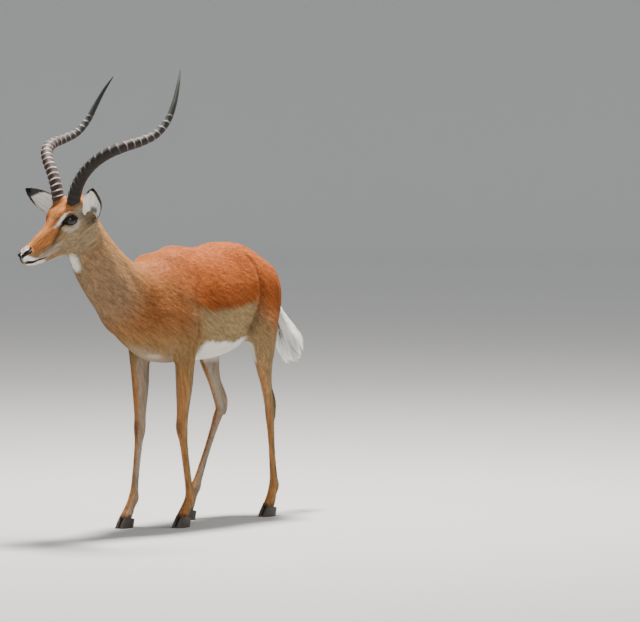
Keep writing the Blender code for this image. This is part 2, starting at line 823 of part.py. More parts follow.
def centre_over_origin(objects):
    """Shifts the whole animal so that its bounding box stands centred on the origin."""
    corners = np.array([obj.matrix_world @ vertex.co for obj in objects for vertex in obj.data.vertices])
    middle = (corners.min(0) + corners.max(0)) / 2
    move = Matrix.Translation((-middle[0], -middle[1], 0))
    for obj in objects:
        obj.data.transform(move)
    print("shift", [round(float(-v), 5) for v in middle[:2]])


LEGS = (("fore", FORE_JOINTS, FORE_SPREAD), ("hind", HIND_JOINTS, HIND_SPREAD))


def main():
    for obj in list(bpy.data.objects):
        bpy.data.objects.remove(obj)
    animal = collection("impala")
    cutters = collection("cutters")
    body = hull_of(flesh_forms(), animal)
    pieces = part_flesh(body, animal, cutters)
    extras = []
    for side, word in ((LEFT, "left"), (RIGHT, "right")):
        on_skull = [eye(side, word, animal), horn(side, word, animal), ear(side, word, animal)]
        seat(pieces["head"], on_skull, cutters)
        extras += on_skull
        for leg, table, spread in LEGS:
            toe_x = table[side][4][0]
            middle = side * spread[4]
            claws = [
                claw(f"hoof_{leg}_{word}_outer", (toe_x, middle), side, animal),
                claw(f"hoof_{leg}_{word}_inner", (toe_x, middle), -side, animal),
            ]
            seat(pieces[f"{leg}leg_{word}"], claws, cutters)
            extras += claws
    brush = tail(animal)
    seat(pieces["trunk"], [brush], cutters)
    extras.append(brush)
    for piece in pieces.values():
        tidy(piece)
    centre_over_origin([*pieces.values(), *extras])
    for cutter in list(cutters.objects):
        bpy.data.objects.remove(cutter)
    bpy.data.collections.remove(cutters)
    total = sum(len(f.vertices) - 2 for o in [*pieces.values(), *extras] for f in o.data.polygons)
    print("solids", len(pieces) + len(extras), "triangles", total)


main()
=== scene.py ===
# %% [markdown]
# # A standing impala ram, dressed for a museum
# The animal is already there as plain solids: head, neck, trunk, legs, ears, eyes, horns,
# hooves and tail. This lesson dresses them. It makes one skin over all the flesh, sculpts the
# head, works out the markings of the coat, combs short hair over the skin as joined meshes,
# and then makes the ringed horns, the wet eyes, the hooves and the loose white tail.
# Everything is in metres, with the animal facing +X and its soles on Z = 0.

import math

import bmesh
import bpy
import numpy as np
from mathutils import Matrix, Vector


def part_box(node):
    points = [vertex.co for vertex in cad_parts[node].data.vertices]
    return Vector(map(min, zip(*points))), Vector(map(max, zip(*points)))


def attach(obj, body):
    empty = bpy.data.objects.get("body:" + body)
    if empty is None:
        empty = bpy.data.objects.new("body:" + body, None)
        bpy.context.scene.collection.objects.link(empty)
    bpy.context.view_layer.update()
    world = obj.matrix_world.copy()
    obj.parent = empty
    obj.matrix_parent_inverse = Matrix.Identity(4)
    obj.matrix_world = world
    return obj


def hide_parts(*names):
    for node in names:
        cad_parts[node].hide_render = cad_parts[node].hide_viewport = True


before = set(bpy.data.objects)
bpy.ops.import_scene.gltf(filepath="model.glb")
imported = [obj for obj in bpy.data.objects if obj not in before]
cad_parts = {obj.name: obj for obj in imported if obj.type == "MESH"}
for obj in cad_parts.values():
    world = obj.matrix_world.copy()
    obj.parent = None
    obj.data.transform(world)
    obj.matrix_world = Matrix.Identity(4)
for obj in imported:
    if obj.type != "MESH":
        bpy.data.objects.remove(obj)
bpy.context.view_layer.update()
dice = np.random.default_rng(11)
LEFT, RIGHT = 1, -1
SIDES = ((LEFT, "left"), (RIGHT, "right"))

# %% [markdown]
# ## The head's own frame
# A head is easiest to describe along its own face. So the head has a frame with x towards the
# nose, y to the animal's left and z out of the forehead, and `on_head` takes a point of it to
# the animal. The solids were centred over the origin after they were made, so the same shift is
# found again here from the box of the left eye.

# %% Head frame
HEAD_AT = (0.508, -0.030, 1.036)
HEAD_TURN, HEAD_NOD, HEAD_ROLL = math.radians(-13), math.radians(31), math.radians(-3.5)
EYE_AT = (0.092, 0.0410, -0.008)
EYE_RADIUS = 0.0195


def turned(yaw, pitch, roll):
    spin = Matrix.Rotation(yaw, 3, "Z") @ Matrix.Rotation(pitch, 3, "Y")
    return np.array(spin @ Matrix.Rotation(roll, 3, "X"))


HEAD_SPIN = turned(HEAD_TURN, HEAD_NOD, HEAD_ROLL)
UPRIGHT = turned(HEAD_TURN, 0.0, HEAD_ROLL)


def on_head(point):
    return np.array(HEAD_AT) + HEAD_SPIN @ np.array(point, float)


def in_head(points):
    """Points of the animal in the head's frame."""
    return (points - np.array(HEAD_AT)) @ HEAD_SPIN


def mirrored(point, side):
    return (point[0], point[1] * side, point[2])


eye_low, eye_high = (np.array(corner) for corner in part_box("eye_left"))
SHIFT = (eye_low + eye_high) / 2 - on_head(EYE_AT)
SHIFT[2] = 0.0
print("the solids stand", SHIFT.round(4), "from where the forms put them")

# %% [markdown]
# ## Flesh as forms that melt together
# Muscles have no edges between them, so the flesh is not a net of hand-made faces. It is a list
# of forms: a `Sweep` is flesh along a line with its own width and depth, a `Lump` is a rounded
# mass. Each can say how far a point is from its surface, and `melted` blends those distances,
# so that one form runs into the next as muscle does.

# %% Small tools for numbers


def unit(vectors):
    return vectors / np.maximum(np.linalg.norm(vectors, axis=-1, keepdims=True), 1e-12)


def rise(low, high, value):
    """0 below low, 1 above high, eased between."""
    t = np.clip((value - low) / (high - low), 0, 1)
    return t * t * (3 - 2 * t)


def eased(rows, steps):
    """Rows of numbers joined by a Catmull-Rom curve."""
    rows = np.array(rows, float)
    ends = np.vstack([2 * rows[0] - rows[1], rows, 2 * rows[-1] - rows[-2]])
    t = np.linspace(0, 1, steps, endpoint=False)[:, None]
    spans = []
    for a, b, c, d in zip(ends, ends[1:], ends[2:], ends[3:]):
        bend = (2 * a - 5 * b + 4 * c - d) * t**2 + (3 * b - a - 3 * c + d) * t**3
        spans.append(0.5 * (2 * b + (c - a) * t + bend))
    return np.vstack([*spans, rows[-1:]])


def rounded(offsets, reach):
    """Distance from a rounded form whose half axes are reach, near its surface."""
    k0 = np.linalg.norm(offsets / reach, axis=1)
    k1 = np.linalg.norm(offsets / reach**2, axis=1)
    return k0 * (k0 - 1) / np.maximum(k1, 1e-9)


# %% Sweeps and lumps


class Sweep:
    """Flesh along a line: rows of (x, y, z, half width, reach over, reach under)."""

    def __init__(self, rows, melt, on_skull=False, steps=6):
        path = eased(rows, steps)
        self.melt = melt
        self.centre = path[:, :3]
        self.reach = np.maximum(path[:, 3:], 0.002)
        self.along = unit(np.gradient(self.centre, axis=0))
        side = np.array([0.0, 1.0, 0.0]) - self.along * self.along[:, 1:2]
        if on_skull:
            self.centre = np.array(HEAD_AT) + self.centre @ HEAD_SPIN.T
            self.along = self.along @ HEAD_SPIN.T
            side = side @ HEAD_SPIN.T
        self.side = unit(side)
        self.over = np.cross(self.along, self.side)
        self.stride = np.linalg.norm(np.diff(self.centre, axis=0), axis=1).mean()

    def box(self):
        far = self.reach.max()
        return self.centre.min(0) - far, self.centre.max(0) + far

    def distance(self, points):
        last = len(self.centre) - 1
        gaps = (self.centre**2).sum(1) - 2 * points @ self.centre.T
        near = gaps.argmin(1)
        step = ((points - self.centre[near]) * self.along[near]).sum(1) / self.stride
        u = np.clip(near + np.clip(step, -1, 1), 0, last)
        low = np.minimum(u.astype(int), last - 1)
        share = (u - low)[:, None]

        def at(values):
            return values[low] * (1 - share) + values[low + 1] * share

        offset = points - at(self.centre)
        over = (offset * at(self.over)).sum(1)
        reach = at(self.reach)
        tall = np.where(over > 0, reach[:, 1], reach[:, 2])
        local = np.stack([(offset * at(self.side)).sum(1), over, (offset * at(self.along)).sum(1)], 1)
        local[(u > 0) & (u < last), 2] = 0
        return rounded(local, np.stack([reach[:, 0], tall, reach[:, 0]], 1))

    def rough(self, bm, sides=16):
        """A closed tube of this form."""
        rings = []
        stations = zip(self.centre, self.side, self.over, self.reach)
        for centre, side, over, (wide, above, below) in stations:
            ring = []
            for turn in np.linspace(0, 2 * math.pi, sides, endpoint=False):
                tall = above if math.sin(turn) > 0 else below
                reach = side * wide * math.cos(turn) + over * tall * math.sin(turn)
                ring.append(bm.verts.new(centre + reach))
            rings.append(ring)
        for a, b in zip(rings, rings[1:]):
            for i in range(len(a)):
                j = (i + 1) % len(a)
                bm.faces.new((a[i], a[j], b[j], b[i]))
        bm.faces.new(rings[0][::-1])
        bm.faces.new(rings[-1])

# %% Lumps, and how all forms melt together


class Lump:
    """A rounded mass with three half axes, tipped nose down by pitch and turned by yaw."""

    def __init__(self, centre, reach, melt, pitch=0.0, yaw=0.0, on_skull=False):
        self.melt = melt
        self.reach = np.array(reach, float)
        self.spin = turned(math.radians(yaw), math.radians(pitch), 0)
        self.centre = np.array(centre, float)
        if on_skull:
            self.centre = on_head(centre)
            self.spin = HEAD_SPIN @ self.spin

    def box(self):
        return self.centre - self.reach.max(), self.centre + self.reach.max()

    def distance(self, points):
        return rounded((points - self.centre) @ self.spin, self.reach)

    def rough(self, bm):
        place = Matrix.Translation(self.centre) @ Matrix(self.spin).to_4x4()
        shape = place @ Matrix.Diagonal((*self.reach, 1))
        bmesh.ops.create_uvsphere(bm, u_segments=16, v_segments=10, radius=1.0, matrix=shape)


FAR = 0.08  # a form has no say beyond this distance from its box


def melted(forms, points):
    """Distance from all the forms melted together."""
    total = np.full(len(points), 0.5)
    for form in forms:
        low, high = form.box()
        near = ((points > low - FAR) & (points < high + FAR)).all(1)
        if not near.any():
            continue
        new, old = form.distance(points[near]), total[near]
        h = np.clip(0.5 + 0.5 * (old - new) / form.melt, 0, 1)
        total[near] = old * (1 - h) + new * h - form.melt * h * (1 - h)
    return total


def slope_of(forms, points, step=0.0008):
    """The melted distance at points, and which way it grows."""
    here = melted(forms, points)
    slope = [(melted(forms, points + step * axis) - here) / step for axis in np.eye(3)]
    return here, np.stack(slope, 1)


def settle(forms, points, depth, rounds):
    """Moves points to lie a coat's depth under the melted surface."""
    points = points.copy()
    for _ in range(rounds):
        here, slope = slope_of(forms, points)
        steep = np.maximum((slope**2).sum(1), 0.2)
        points -= (np.clip(here + depth(points), -0.02, 0.02) / steep)[:, None] * slope
    return points


# %% [markdown]
# ## The forms of this ram
# Each row is one station along the body. Reading down the ribs goes from the tail head to the
# point of the chest, with the half width, the reach up to the back and the reach down to the
# belly. The head's rows run from the nape to the nose. The numbers are the ones the solids were
# made from, so skin and solids agree.

# %% Rib cage, neck and skull


def midline(rows):
    """Rows of (x, z, half width, over, under) on the plane of symmetry."""
    return [(x, 0.0, z, wide, over, under) for x, z, wide, over, under in rows]


def trunk_forms():
    ribs = [
        (-0.353, 0.768, 0.036, 0.038, 0.055),
        (-0.308, 0.752, 0.072, 0.078, 0.100),
        (-0.230, 0.740, 0.100, 0.126, 0.135),
        (-0.136, 0.715, 0.114, 0.171, 0.176),
        (-0.031, 0.695, 0.128, 0.181, 0.178),
        (0.063, 0.680, 0.124, 0.192, 0.164),
        (0.146, 0.678, 0.110, 0.192, 0.162),
        (0.219, 0.685, 0.098, 0.164, 0.155),
        (0.292, 0.690, 0.084, 0.136, 0.118),
        (0.350, 0.695, 0.060, 0.085, 0.075),
    ]
    neck = [
        (0.219, 0.000, 0.690, 0.080, 0.125, 0.130),
        (0.308, 0.000, 0.732, 0.080, 0.100, 0.126),
        (0.371, -0.004, 0.777, 0.073, 0.085, 0.120),
        (0.431, -0.014, 0.836, 0.063, 0.077, 0.110),
        (0.473, -0.022, 0.892, 0.055, 0.072, 0.100),
        (0.504, -0.028, 0.945, 0.050, 0.064, 0.084),
        (0.522, -0.031, 0.990, 0.046, 0.050, 0.060),
    ]
    return [
        Sweep(midline(ribs), 0.02),
        Sweep(neck, 0.05),
        Lump((0.110, 0.0, 0.830), (0.085, 0.030, 0.045), 0.04),
        Lump((-0.157, 0.0, 0.830), (0.10, 0.07, 0.05), 0.04),
    ]


def head_forms():
    skull = [
        (0.006, -0.014, 0.036, 0.032, 0.040),
        (0.036, -0.012, 0.043, 0.042, 0.055),
        (0.075, -0.012, 0.046, 0.043, 0.060),
        (0.110, -0.018, 0.044, 0.039, 0.056),
        (0.150, -0.028, 0.035, 0.035, 0.042),
        (0.195, -0.035, 0.0265, 0.035, 0.031),
        (0.235, -0.038, 0.0225, 0.032, 0.026),
        (0.262, -0.039, 0.0210, 0.029, 0.023),
        (0.274, -0.040, 0.017, 0.022, 0.018),
    ]
    jaw = [
        (0.026, -0.062, 0.030, 0.030, 0.042),
        (0.066, -0.076, 0.033, 0.040, 0.044),
        (0.112, -0.078, 0.027, 0.036, 0.039),
        (0.160, -0.075, 0.0205, 0.026, 0.030),
        (0.205, -0.069, 0.0165, 0.020, 0.024),
        (0.238, -0.064, 0.0150, 0.014, 0.019),
        (0.256, -0.061, 0.012, 0.011, 0.013),
    ]
    forms = [Sweep(midline(skull), 0.03, on_skull=True), Sweep(midline(jaw), 0.018, on_skull=True)]
    for side in (LEFT, RIGHT):
        for centre, reach, melt, pitch, yaw in (
            ((0.093, 0.032, 0.002), (0.034, 0.017, 0.024), 0.016, 0, -8),  # rim of the eye socket
            ((0.078, 0.038, -0.032), (0.046, 0.011, 0.013), 0.018, 0, -5),  # cheek bone
            ((0.060, 0.025, -0.066), (0.042, 0.017, 0.038), 0.020, 0, 0),  # chewing muscle
            ((0.264, 0.0145, -0.026), (0.016, 0.0090, 0.013), 0.010, 15, -12),  # wing of the nose
            ((0.256, 0.0115, -0.050), (0.019, 0.0100, 0.0100), 0.010, 12, -8),  # upper lip
            ((0.052, 0.036, 0.020), (0.026, 0.023, 0.026), 0.016, 0, 0),  # seat of the horn
            ((0.018, 0.040, -0.036), (0.026, 0.022, 0.026), 0.018, 0, 0),  # root of the ear
        ):
            forms.append(
                Lump(mirrored(centre, side), reach, melt, pitch, yaw * side, on_skull=True)
            )
    return forms


# %% Legs: bones first, then flesh along them


def between(a, b, share):
    return tuple(np.array(a) * (1 - share) + np.array(b) * share)


def limb(joints, rows):
    """Rows of (bone number, share along it, half width, reach forward, reach back)."""
    return [
        (*between(joints[bone], joints[bone + 1], share), wide, front, back)
        for bone, share, wide, front, back in rows
    ]


# Joints as (x, z), with the distance of each from the plane of symmetry below.
FORE_JOINTS = {
    LEFT: ((0.136, 0.600), (0.147, 0.314), (0.102, 0.092), (0.132, 0.046), (0.145, 0.028)),
    RIGHT: ((0.171, 0.600), (0.189, 0.310), (0.226, 0.092), (0.255, 0.046), (0.268, 0.028)),
}
FORE_SPREAD = (0.080, 0.068, 0.064, 0.064, 0.064)
HIND_JOINTS = {
    LEFT: ((-0.211, 0.615), (-0.289, 0.342), (-0.319, 0.098), (-0.299, 0.048), (-0.286, 0.029)),
    RIGHT: ((-0.146, 0.600), (-0.215, 0.346), (-0.084, 0.106), (-0.052, 0.050), (-0.040, 0.029)),
}
HIND_SPREAD = (0.090, 0.072, 0.066, 0.066, 0.066)
LEG_TABLES = (("fore", FORE_JOINTS, FORE_SPREAD), ("hind", HIND_JOINTS, HIND_SPREAD))


def joints_of(table, spread, side):
    return [(x, side * out, z) for (x, z), out in zip(table[side], spread)]

# %% Forelegs


def foreleg_forms(side):
    joints = joints_of(FORE_JOINTS, FORE_SPREAD, side)
    elbow = joints[0]
    leg = limb(
        joints,
        [
            (0, -0.16, 0.036, 0.048, 0.044),
            (0, 0.04, 0.034, 0.045, 0.032),
            (0, 0.36, 0.0290, 0.035, 0.031),
            (0, 0.56, 0.0260, 0.027, 0.030),
            (0, 0.84, 0.0195, 0.0200, 0.0215),
            (0, 0.97, 0.0200, 0.0205, 0.0190),
            (1, 0.06, 0.0190, 0.0190, 0.0185),
            (1, 0.22, 0.0140, 0.0140, 0.0155),
            (1, 0.55, 0.0122, 0.0125, 0.0140),
            (1, 0.86, 0.0130, 0.0130, 0.0150),
            (1, 1.00, 0.0175, 0.0165, 0.0190),
            (2, 0.45, 0.0160, 0.0145, 0.0155),
            (3, 0.00, 0.0185, 0.0155, 0.0170),
            (3, 1.05, 0.0190, 0.0190, 0.0170),
        ],
    )
    shoulder = (elbow[0] + 0.125, side * 0.066, 0.668)
    blade = [
        (elbow[0] + 0.005, side * 0.040, 0.825, 0.018, 0.045, 0.045),
        (elbow[0] + 0.045, side * 0.060, 0.760, 0.026, 0.055, 0.060),
        (elbow[0] + 0.095, side * 0.068, 0.700, 0.034, 0.045, 0.060),
        (*shoulder, 0.036, 0.036, 0.040),
    ]
    arm = [
        (*shoulder, 0.034, 0.036, 0.036),
        (elbow[0] + 0.06, side * 0.078, 0.635, 0.036, 0.042, 0.050),
        (elbow[0] + 0.005, side * 0.080, 0.600, 0.035, 0.034, 0.046),
    ]
    return [
        Sweep(blade, 0.045),
        Sweep(arm, 0.040),
        Lump((elbow[0] + 0.010, side * 0.076, 0.672), (0.060, 0.038, 0.085), 0.035, pitch=-14),
        Sweep(leg, 0.030),
        Lump((elbow[0] - 0.040, side * 0.076, 0.602), (0.016, 0.018, 0.030), 0.018),
    ]

# %% Hind legs


def hindleg_forms(side):
    joints = joints_of(HIND_JOINTS, HIND_SPREAD, side)
    stifle, hock = joints[0], joints[1]
    leg = limb(
        joints,
        [
            (0, -0.05, 0.044, 0.030, 0.095),
            (0, 0.16, 0.038, 0.034, 0.075),
            (0, 0.42, 0.0265, 0.032, 0.042),
            (0, 0.68, 0.0165, 0.022, 0.022),
            (0, 0.90, 0.0145, 0.0170, 0.0165),
            (1, 0.00, 0.0150, 0.0175, 0.0175),
            (1, 0.12, 0.0145, 0.0155, 0.0170),
            (1, 0.30, 0.0120, 0.0125, 0.0145),
            (1, 0.55, 0.0112, 0.0118, 0.0130),
            (1, 0.88, 0.0130, 0.0135, 0.0155),
            (1, 1.00, 0.0175, 0.0170, 0.0190),
            (2, 0.45, 0.0160, 0.0150, 0.0160),
            (3, 0.00, 0.0185, 0.0155, 0.0170),
            (3, 1.05, 0.0190, 0.0190, 0.0170),
        ],
    )
    shift = stifle[0] - HIND_JOINTS[LEFT][0][0]
    heel = (hock[0] - 0.019 - 0.08 * shift, hock[1], hock[2] + 0.028)
    tendon = [
        (hock[0] + 0.030, side * 0.080, hock[2] + 0.160, 0.009, 0.010, 0.010),
        (hock[0] + 0.008 - 0.1 * shift, side * 0.076, hock[2] + 0.090, 0.007, 0.008, 0.008),
        (*heel, 0.0100, 0.011, 0.010),
        (hock[0] - 0.018, hock[1], hock[2] - 0.018, 0.0110, 0.011, 0.009),
    ]
    return [
        Lump((-0.221 + 0.5 * shift, side * 0.060, 0.726), (0.100, 0.052, 0.104), 0.045, pitch=12),
        Lump((-0.288 + 0.2 * shift, side * 0.060, 0.690), (0.046, 0.044, 0.105), 0.04, pitch=4),
        Lump((-0.205 + 0.8 * shift, side * 0.074, 0.658), (0.040, 0.034, 0.078), 0.04, pitch=-18),
        Sweep(leg, 0.025),
        Sweep(tendon, 0.010),
    ]


# %% Tail dock, all flesh together, and how deep the coat is
TAIL_LINE = (
    (-0.324, 0.0, 0.788, 0.0150, 0.0115, 0.0130),
    (-0.356, 0.0, 0.762, 0.0145, 0.0110, 0.0120),
    (-0.382, 0.0, 0.712, 0.0120, 0.0090, 0.0095),
    (-0.411, 0.0, 0.650, 0.0090, 0.0070, 0.0075),
    (-0.440, 0.0, 0.604, 0.0060, 0.0050, 0.0055),
    (-0.456, 0.0, 0.585, 0.0035, 0.0035, 0.0035),
)

skull_forms = head_forms()
leg_forms = [make(side) for make in (foreleg_forms, hindleg_forms) for side in (LEFT, RIGHT)]
flesh = trunk_forms() + skull_forms + [form for leg in leg_forms for form in leg]
flesh.append(Sweep(TAIL_LINE, 0.014))
print(len(flesh), "forms of flesh")


def head_share(points):
    """1 on the head, 0 on the neck and body."""
    q = in_head(points)
    behind = q[:, 0] + 0.35 * (q[:, 2] + 0.05)
    low = q[:, 2] + 0.125 - 0.25 * (q[:, 0] - 0.05)
    return rise(-0.012, 0.030, behind) * rise(-0.03, 0.012, low)


def leg_share(points):
    """1 on the legs, 0 on the trunk."""
    return 1 - rise(0.50, 0.64, points[:, 2])


def coat_depth(points):
    """How deep the hair is: sleek on the body, very short on legs and face."""
    head, leg = head_share(points), leg_share(points)
    return 0.0042 - 0.0030 * head - 0.0020 * leg * (1 - head)


# %% [markdown]
# ## One skin over everything
# The real animal has one skin. Here rough tubes and balls are poured together by a voxel remesh,
# which leaves an even net of small quads with no seams. The net is only roughly in place, so
# every vertex then walks down the melted distance until it lies a coat's depth below the
# surface. The head is small and full of detail, so its faces are split in four, twice round the
# eyes, nose and mouth, and walked again.

# %% Pour and settle the skin
VOXEL = 0.0052


def blank_object(name, mesh):
    made = bpy.data.objects.new(name, mesh)
    bpy.context.scene.collection.objects.link(made)
    return made


def baked(obj):
    """The object with its modifiers worked into its mesh."""
    graph = bpy.context.evaluated_depsgraph_get()
    mesh = bpy.data.meshes.new_from_object(obj.evaluated_get(graph))
    obj.modifiers.clear()
    obj.data = mesh
    return obj


def places(mesh):
    points = np.empty(len(mesh.vertices) * 3)
    mesh.vertices.foreach_get("co", points)
    return points.reshape(-1, 3)


def put(mesh, points):
    mesh.vertices.foreach_set("co", points.ravel())
    mesh.update()


def poured_skin():
    bm = bmesh.new()
    for form in flesh:
        form.rough(bm)
    mesh = bpy.data.meshes.new("skin")
    bm.to_mesh(mesh)
    bm.free()
    skin = blank_object("skin", mesh)
    voxels = skin.modifiers.new("voxels", "REMESH")
    voxels.mode = "VOXEL"
    voxels.voxel_size = VOXEL
    return baked(skin)


skin = poured_skin()
put(skin.data, settle(flesh, places(skin.data), coat_depth, 4))
print("poured skin", len(skin.data.polygons), "faces")

# %% Split the faces of the head, and again where the detail is
FINE_SPOTS = (
    ((0.092, 0.052, -0.010), 0.040),  # eye
    ((0.268, 0.000, -0.030), 0.040),  # nose and lips
    ((0.240, 0.018, -0.055), 0.026),  # corner of the mouth
)


def split_where(obj, chosen):
    """Splits in four each face whose middle is chosen."""
    bm = bmesh.new()
    bm.from_mesh(obj.data)
    middles = np.array([face.calc_center_median() for face in bm.faces])
    wanted = chosen(middles)
    bm.faces.ensure_lookup_table()
    edges = {edge for face, yes in zip(bm.faces, wanted) if yes for edge in face.edges}
    bmesh.ops.subdivide_edges(bm, edges=list(edges), cuts=1, use_grid_fill=True)
    bm.to_mesh(obj.data)
    bm.free()


def on_the_head(points):
    return head_share(points) > 0.02


def in_fine_spots(points):
    q = in_head(points)
    q[:, 1] = np.abs(q[:, 1])
    near = np.zeros(len(q), bool)
    for centre, reach in FINE_SPOTS:
        near |= np.linalg.norm(q - centre, axis=1) < reach
    return near


def resettle_head():
    points = places(skin.data)
    here = on_the_head(points)
    points[here] = settle(flesh, points[here], coat_depth, 2)
    put(skin.data, points)


split_where(skin, on_the_head)
resettle_head()
split_where(skin, in_fine_spots)
resettle_head()
print("finer skin", len(skin.data.polygons), "faces")

# %% [markdown]
# ## Ears
# An impala's ear is a leaf rolled into a cup at its root. One sheet of points is bent round a
# circle whose angle opens from root to tip, given a skin's thickness, and joined to the head
# with an exact boolean. A little smoothing round the join turns the hard crease into flesh.
# The rest of the skin is smoothed lightly too, and more over the thighs, where the top of the
# leg's form would show as a crease.

# %% Ear sheets
EAR_LENGTH = 0.150
EAR_WIDTH = 0.0325
EARS = {
    LEFT: ((0.028, 0.052, -0.045), (0.41, 0.59, 0.69), (0.72, 0.26, -0.65)),
    RIGHT: ((0.036, -0.060, -0.040), (0.66, -0.55, 0.52), (0.55, 0.82, 0.16)),
}
EAR_ROOT = -0.06  # the sheet starts this share of its length inside the head
EAR_SKIN = 0.0020
EAR_TOUCH = 0.0042  # skin closer than this to the sheet belongs to the ear
SLICE = 4000  # points measured at once, to spare memory


def ear_frame(side):
    root, tip, face = EARS[side]
    ahead = unit(UPRIGHT @ np.array(tip))
    face = UPRIGHT @ np.array(face)
    face = unit(face - ahead * (face @ ahead))
    return on_head(root), ahead, face, np.cross(face, ahead)


def ear_surface(side, rows, columns):
    """Grid of points over the ear, with the share along it and across it at each."""
    root, ahead, face, across = ear_frame(side)
    grid, shares = [], []
    for s in np.linspace(EAR_ROOT, 1.0, rows):
        out = max(s, 0.0)
        leaf = min(1.0, (0.30 + s * 3.0) ** 0.5) * (1 - out**2.6) ** 0.75
        half = EAR_WIDTH * max(leaf, 0.07)
        roll = math.radians(120 - 72 * min(out / 0.6, 1) ** 0.8)
        bend = half * 1.25 / roll
        lean = 0.012 * math.sin(math.pi * out) - 0.004
        for u in np.linspace(-1, 1, columns):
            depth = bend * (math.cos(u * roll) - 0.5 * (1 + math.cos(roll))) + lean
            depth += 0.0012 * math.cos(9 * u) * rise(0.1, 0.4, s) * (1 - out)
            spot = root + ahead * EAR_LENGTH * s + across * bend * math.sin(u * roll)
            grid.append(spot - face * depth)
            shares.append((s, u))
    return np.array(grid), np.array(shares)


def grid_faces(rows, columns):
    low = (np.arange(rows - 1)[:, None] * columns + np.arange(columns - 1)).ravel()
    return np.stack([low, low + 1, low + columns + 1, low + columns], 1)


EAR_ROWS, EAR_COLUMNS = 44, 25
ear_grids = {}
for side, word in SIDES:
    points, shares = ear_surface(side, EAR_ROWS, EAR_COLUMNS)
    ear_grids[side] = (points, shares)
    mesh = bpy.data.meshes.new("ear_" + word)
    mesh.from_pydata(points.tolist(), [], grid_faces(EAR_ROWS, EAR_COLUMNS).tolist())
    ear = blank_object("ear_sheet_" + word, mesh)
    thick = ear.modifiers.new("thick", "SOLIDIFY")
    thick.thickness = EAR_SKIN
    thick.offset = 0.0
    baked(ear)
    bm = bmesh.new()
    bm.from_mesh(ear.data)
    bmesh.ops.recalc_face_normals(bm, faces=bm.faces)
    bm.to_mesh(ear.data)
    bm.free()
    join = skin.modifiers.new("join", "BOOLEAN")
    join.operation = "UNION"
    join.object = ear
    join.solver = "EXACT"
    baked(skin)
    bpy.data.objects.remove(ear)
print("skin with ears", len(skin.data.polygons), "faces")

# %% Which points belong to an ear


def nearest_in(points, cloud):
    """Distance to the nearest point of a cloud and its number, worked in slices."""
    far, number = np.empty(len(points)), np.empty(len(points), int)
    for start in range(0, len(points), SLICE):
        part = points[start : start + SLICE]
        gaps = ((part[:, None] - cloud[None]) ** 2).sum(2)
        number[start : start + SLICE] = gaps.argmin(1)
        far[start : start + SLICE] = np.sqrt(gaps.min(1))
    return far, number


def ear_place(points):
    """Share along the ear, share across it and which ear (0 where there is no ear)."""
    along, across = np.zeros((2, len(points)))
    which = np.zeros(len(points), int)
    for side, (cloud, shares) in ear_grids.items():
        root = ear_frame(side)[0]
        near = np.where(np.linalg.norm(points - root, axis=1) < EAR_LENGTH + 0.03)[0]
        if not len(near):
            continue
        far, number = nearest_in(points[near], cloud)
        hit = (far < EAR_TOUCH) & (shares[number, 0] > 0.10)
        chosen = near[hit]
        along[chosen] = shares[number[hit], 0]
        across[chosen] = shares[number[hit], 1]
        which[chosen] = side
    return along, across, which


# %% Smooth the joins of the ears, the skin and the thighs
SKIN_ROUNDS = 4
THIGH_ROUNDS = 34
THIGHS = [  # (middle, reach) of each place that is smoothed most
    ((HIND_JOINTS[side][0][0] - 0.020, side * 0.110, 0.655), (0.110, 0.060, 0.090))
    for side in (LEFT, RIGHT)
]
THIGHS.append(((-0.300, -0.062, 0.600), (0.075, 0.060, 0.085)))  # back of the thigh set forward


def levelled(mesh, rows, near, rounds, pull):
    """Rows of three numbers per vertex, drawn towards the mean of their neighbours."""
    ends = np.empty(len(mesh.edges) * 2, int)
    mesh.edges.foreach_get("vertices", ends)
    a, b = ends.reshape(-1, 2).T
    many = len(rows)
    count = np.bincount(np.concatenate([a, b]), minlength=many)[:, None]
    for _ in range(rounds):
        sums = [np.bincount(a, rows[b, k], many) + np.bincount(b, rows[a, k], many) for k in range(3)]
        total = np.stack(sums, 1)
        rows = rows + near[:, None] * pull * (total / np.maximum(count, 1) - rows)
    return rows


def smooth_spots(obj, near, rounds=6, pull=0.5):
    """Eases vertices chosen by a mask towards the middle of their neighbours."""
    put(obj.data, levelled(obj.data, places(obj.data), near, rounds, pull))


points = places(skin.data)
near_join = np.zeros(len(points))
for side, _ in SIDES:
    cloud, shares = ear_grids[side]
    low_part = cloud[(shares[:, 0] > 0.02) & (shares[:, 0] < 0.16)]
    close = np.where(np.linalg.norm(points - ear_frame(side)[0], axis=1) < 0.05)[0]
    far, _ = nearest_in(points[close], low_part)
    at_skin = np.abs(melted(flesh, points[close]) + coat_depth(points[close])) < 0.004
    near_join[close] = np.maximum(near_join[close], at_skin * (1 - rise(0.004, 0.011, far)))
smooth_spots(skin, near_join)
print("smoothed", int((near_join > 0.1).sum()), "vertices round the ears")
points = places(skin.data)
off_ears = (ear_place(points)[2] == 0) * 1.0
smooth_spots(skin, (1 - head_share(points)) * off_ears * rise(0.05, 0.12, points[:, 2]), SKIN_ROUNDS)
over_thigh = np.zeros(len(points))
for middle, reach in THIGHS:
    gap = np.linalg.norm((points - middle) / reach, axis=1)
    over_thigh = np.maximum(over_thigh, 1 - rise(0.55, 1.0, gap))
smooth_spots(skin, over_thigh, THIGH_ROUNDS, 0.6)
print("smoothed", int((over_thigh > 0.1).sum()), "vertices over the thighs")

# %% [markdown]
# ## Sculpting the head
# The lids are skin stretched over the eyeball, so the skin near an eye is lifted onto a ball a
# little larger than the eye, and inside the almond of the opening it drops behind the eye. The
# faces there are split once more first, and the vertices next to the opening step onto its
# line, so that the rim is smooth. Nostrils, mouth, bone edges and folds are lines pressed into
# the skin or raised out of it, each with its own reach and depth.

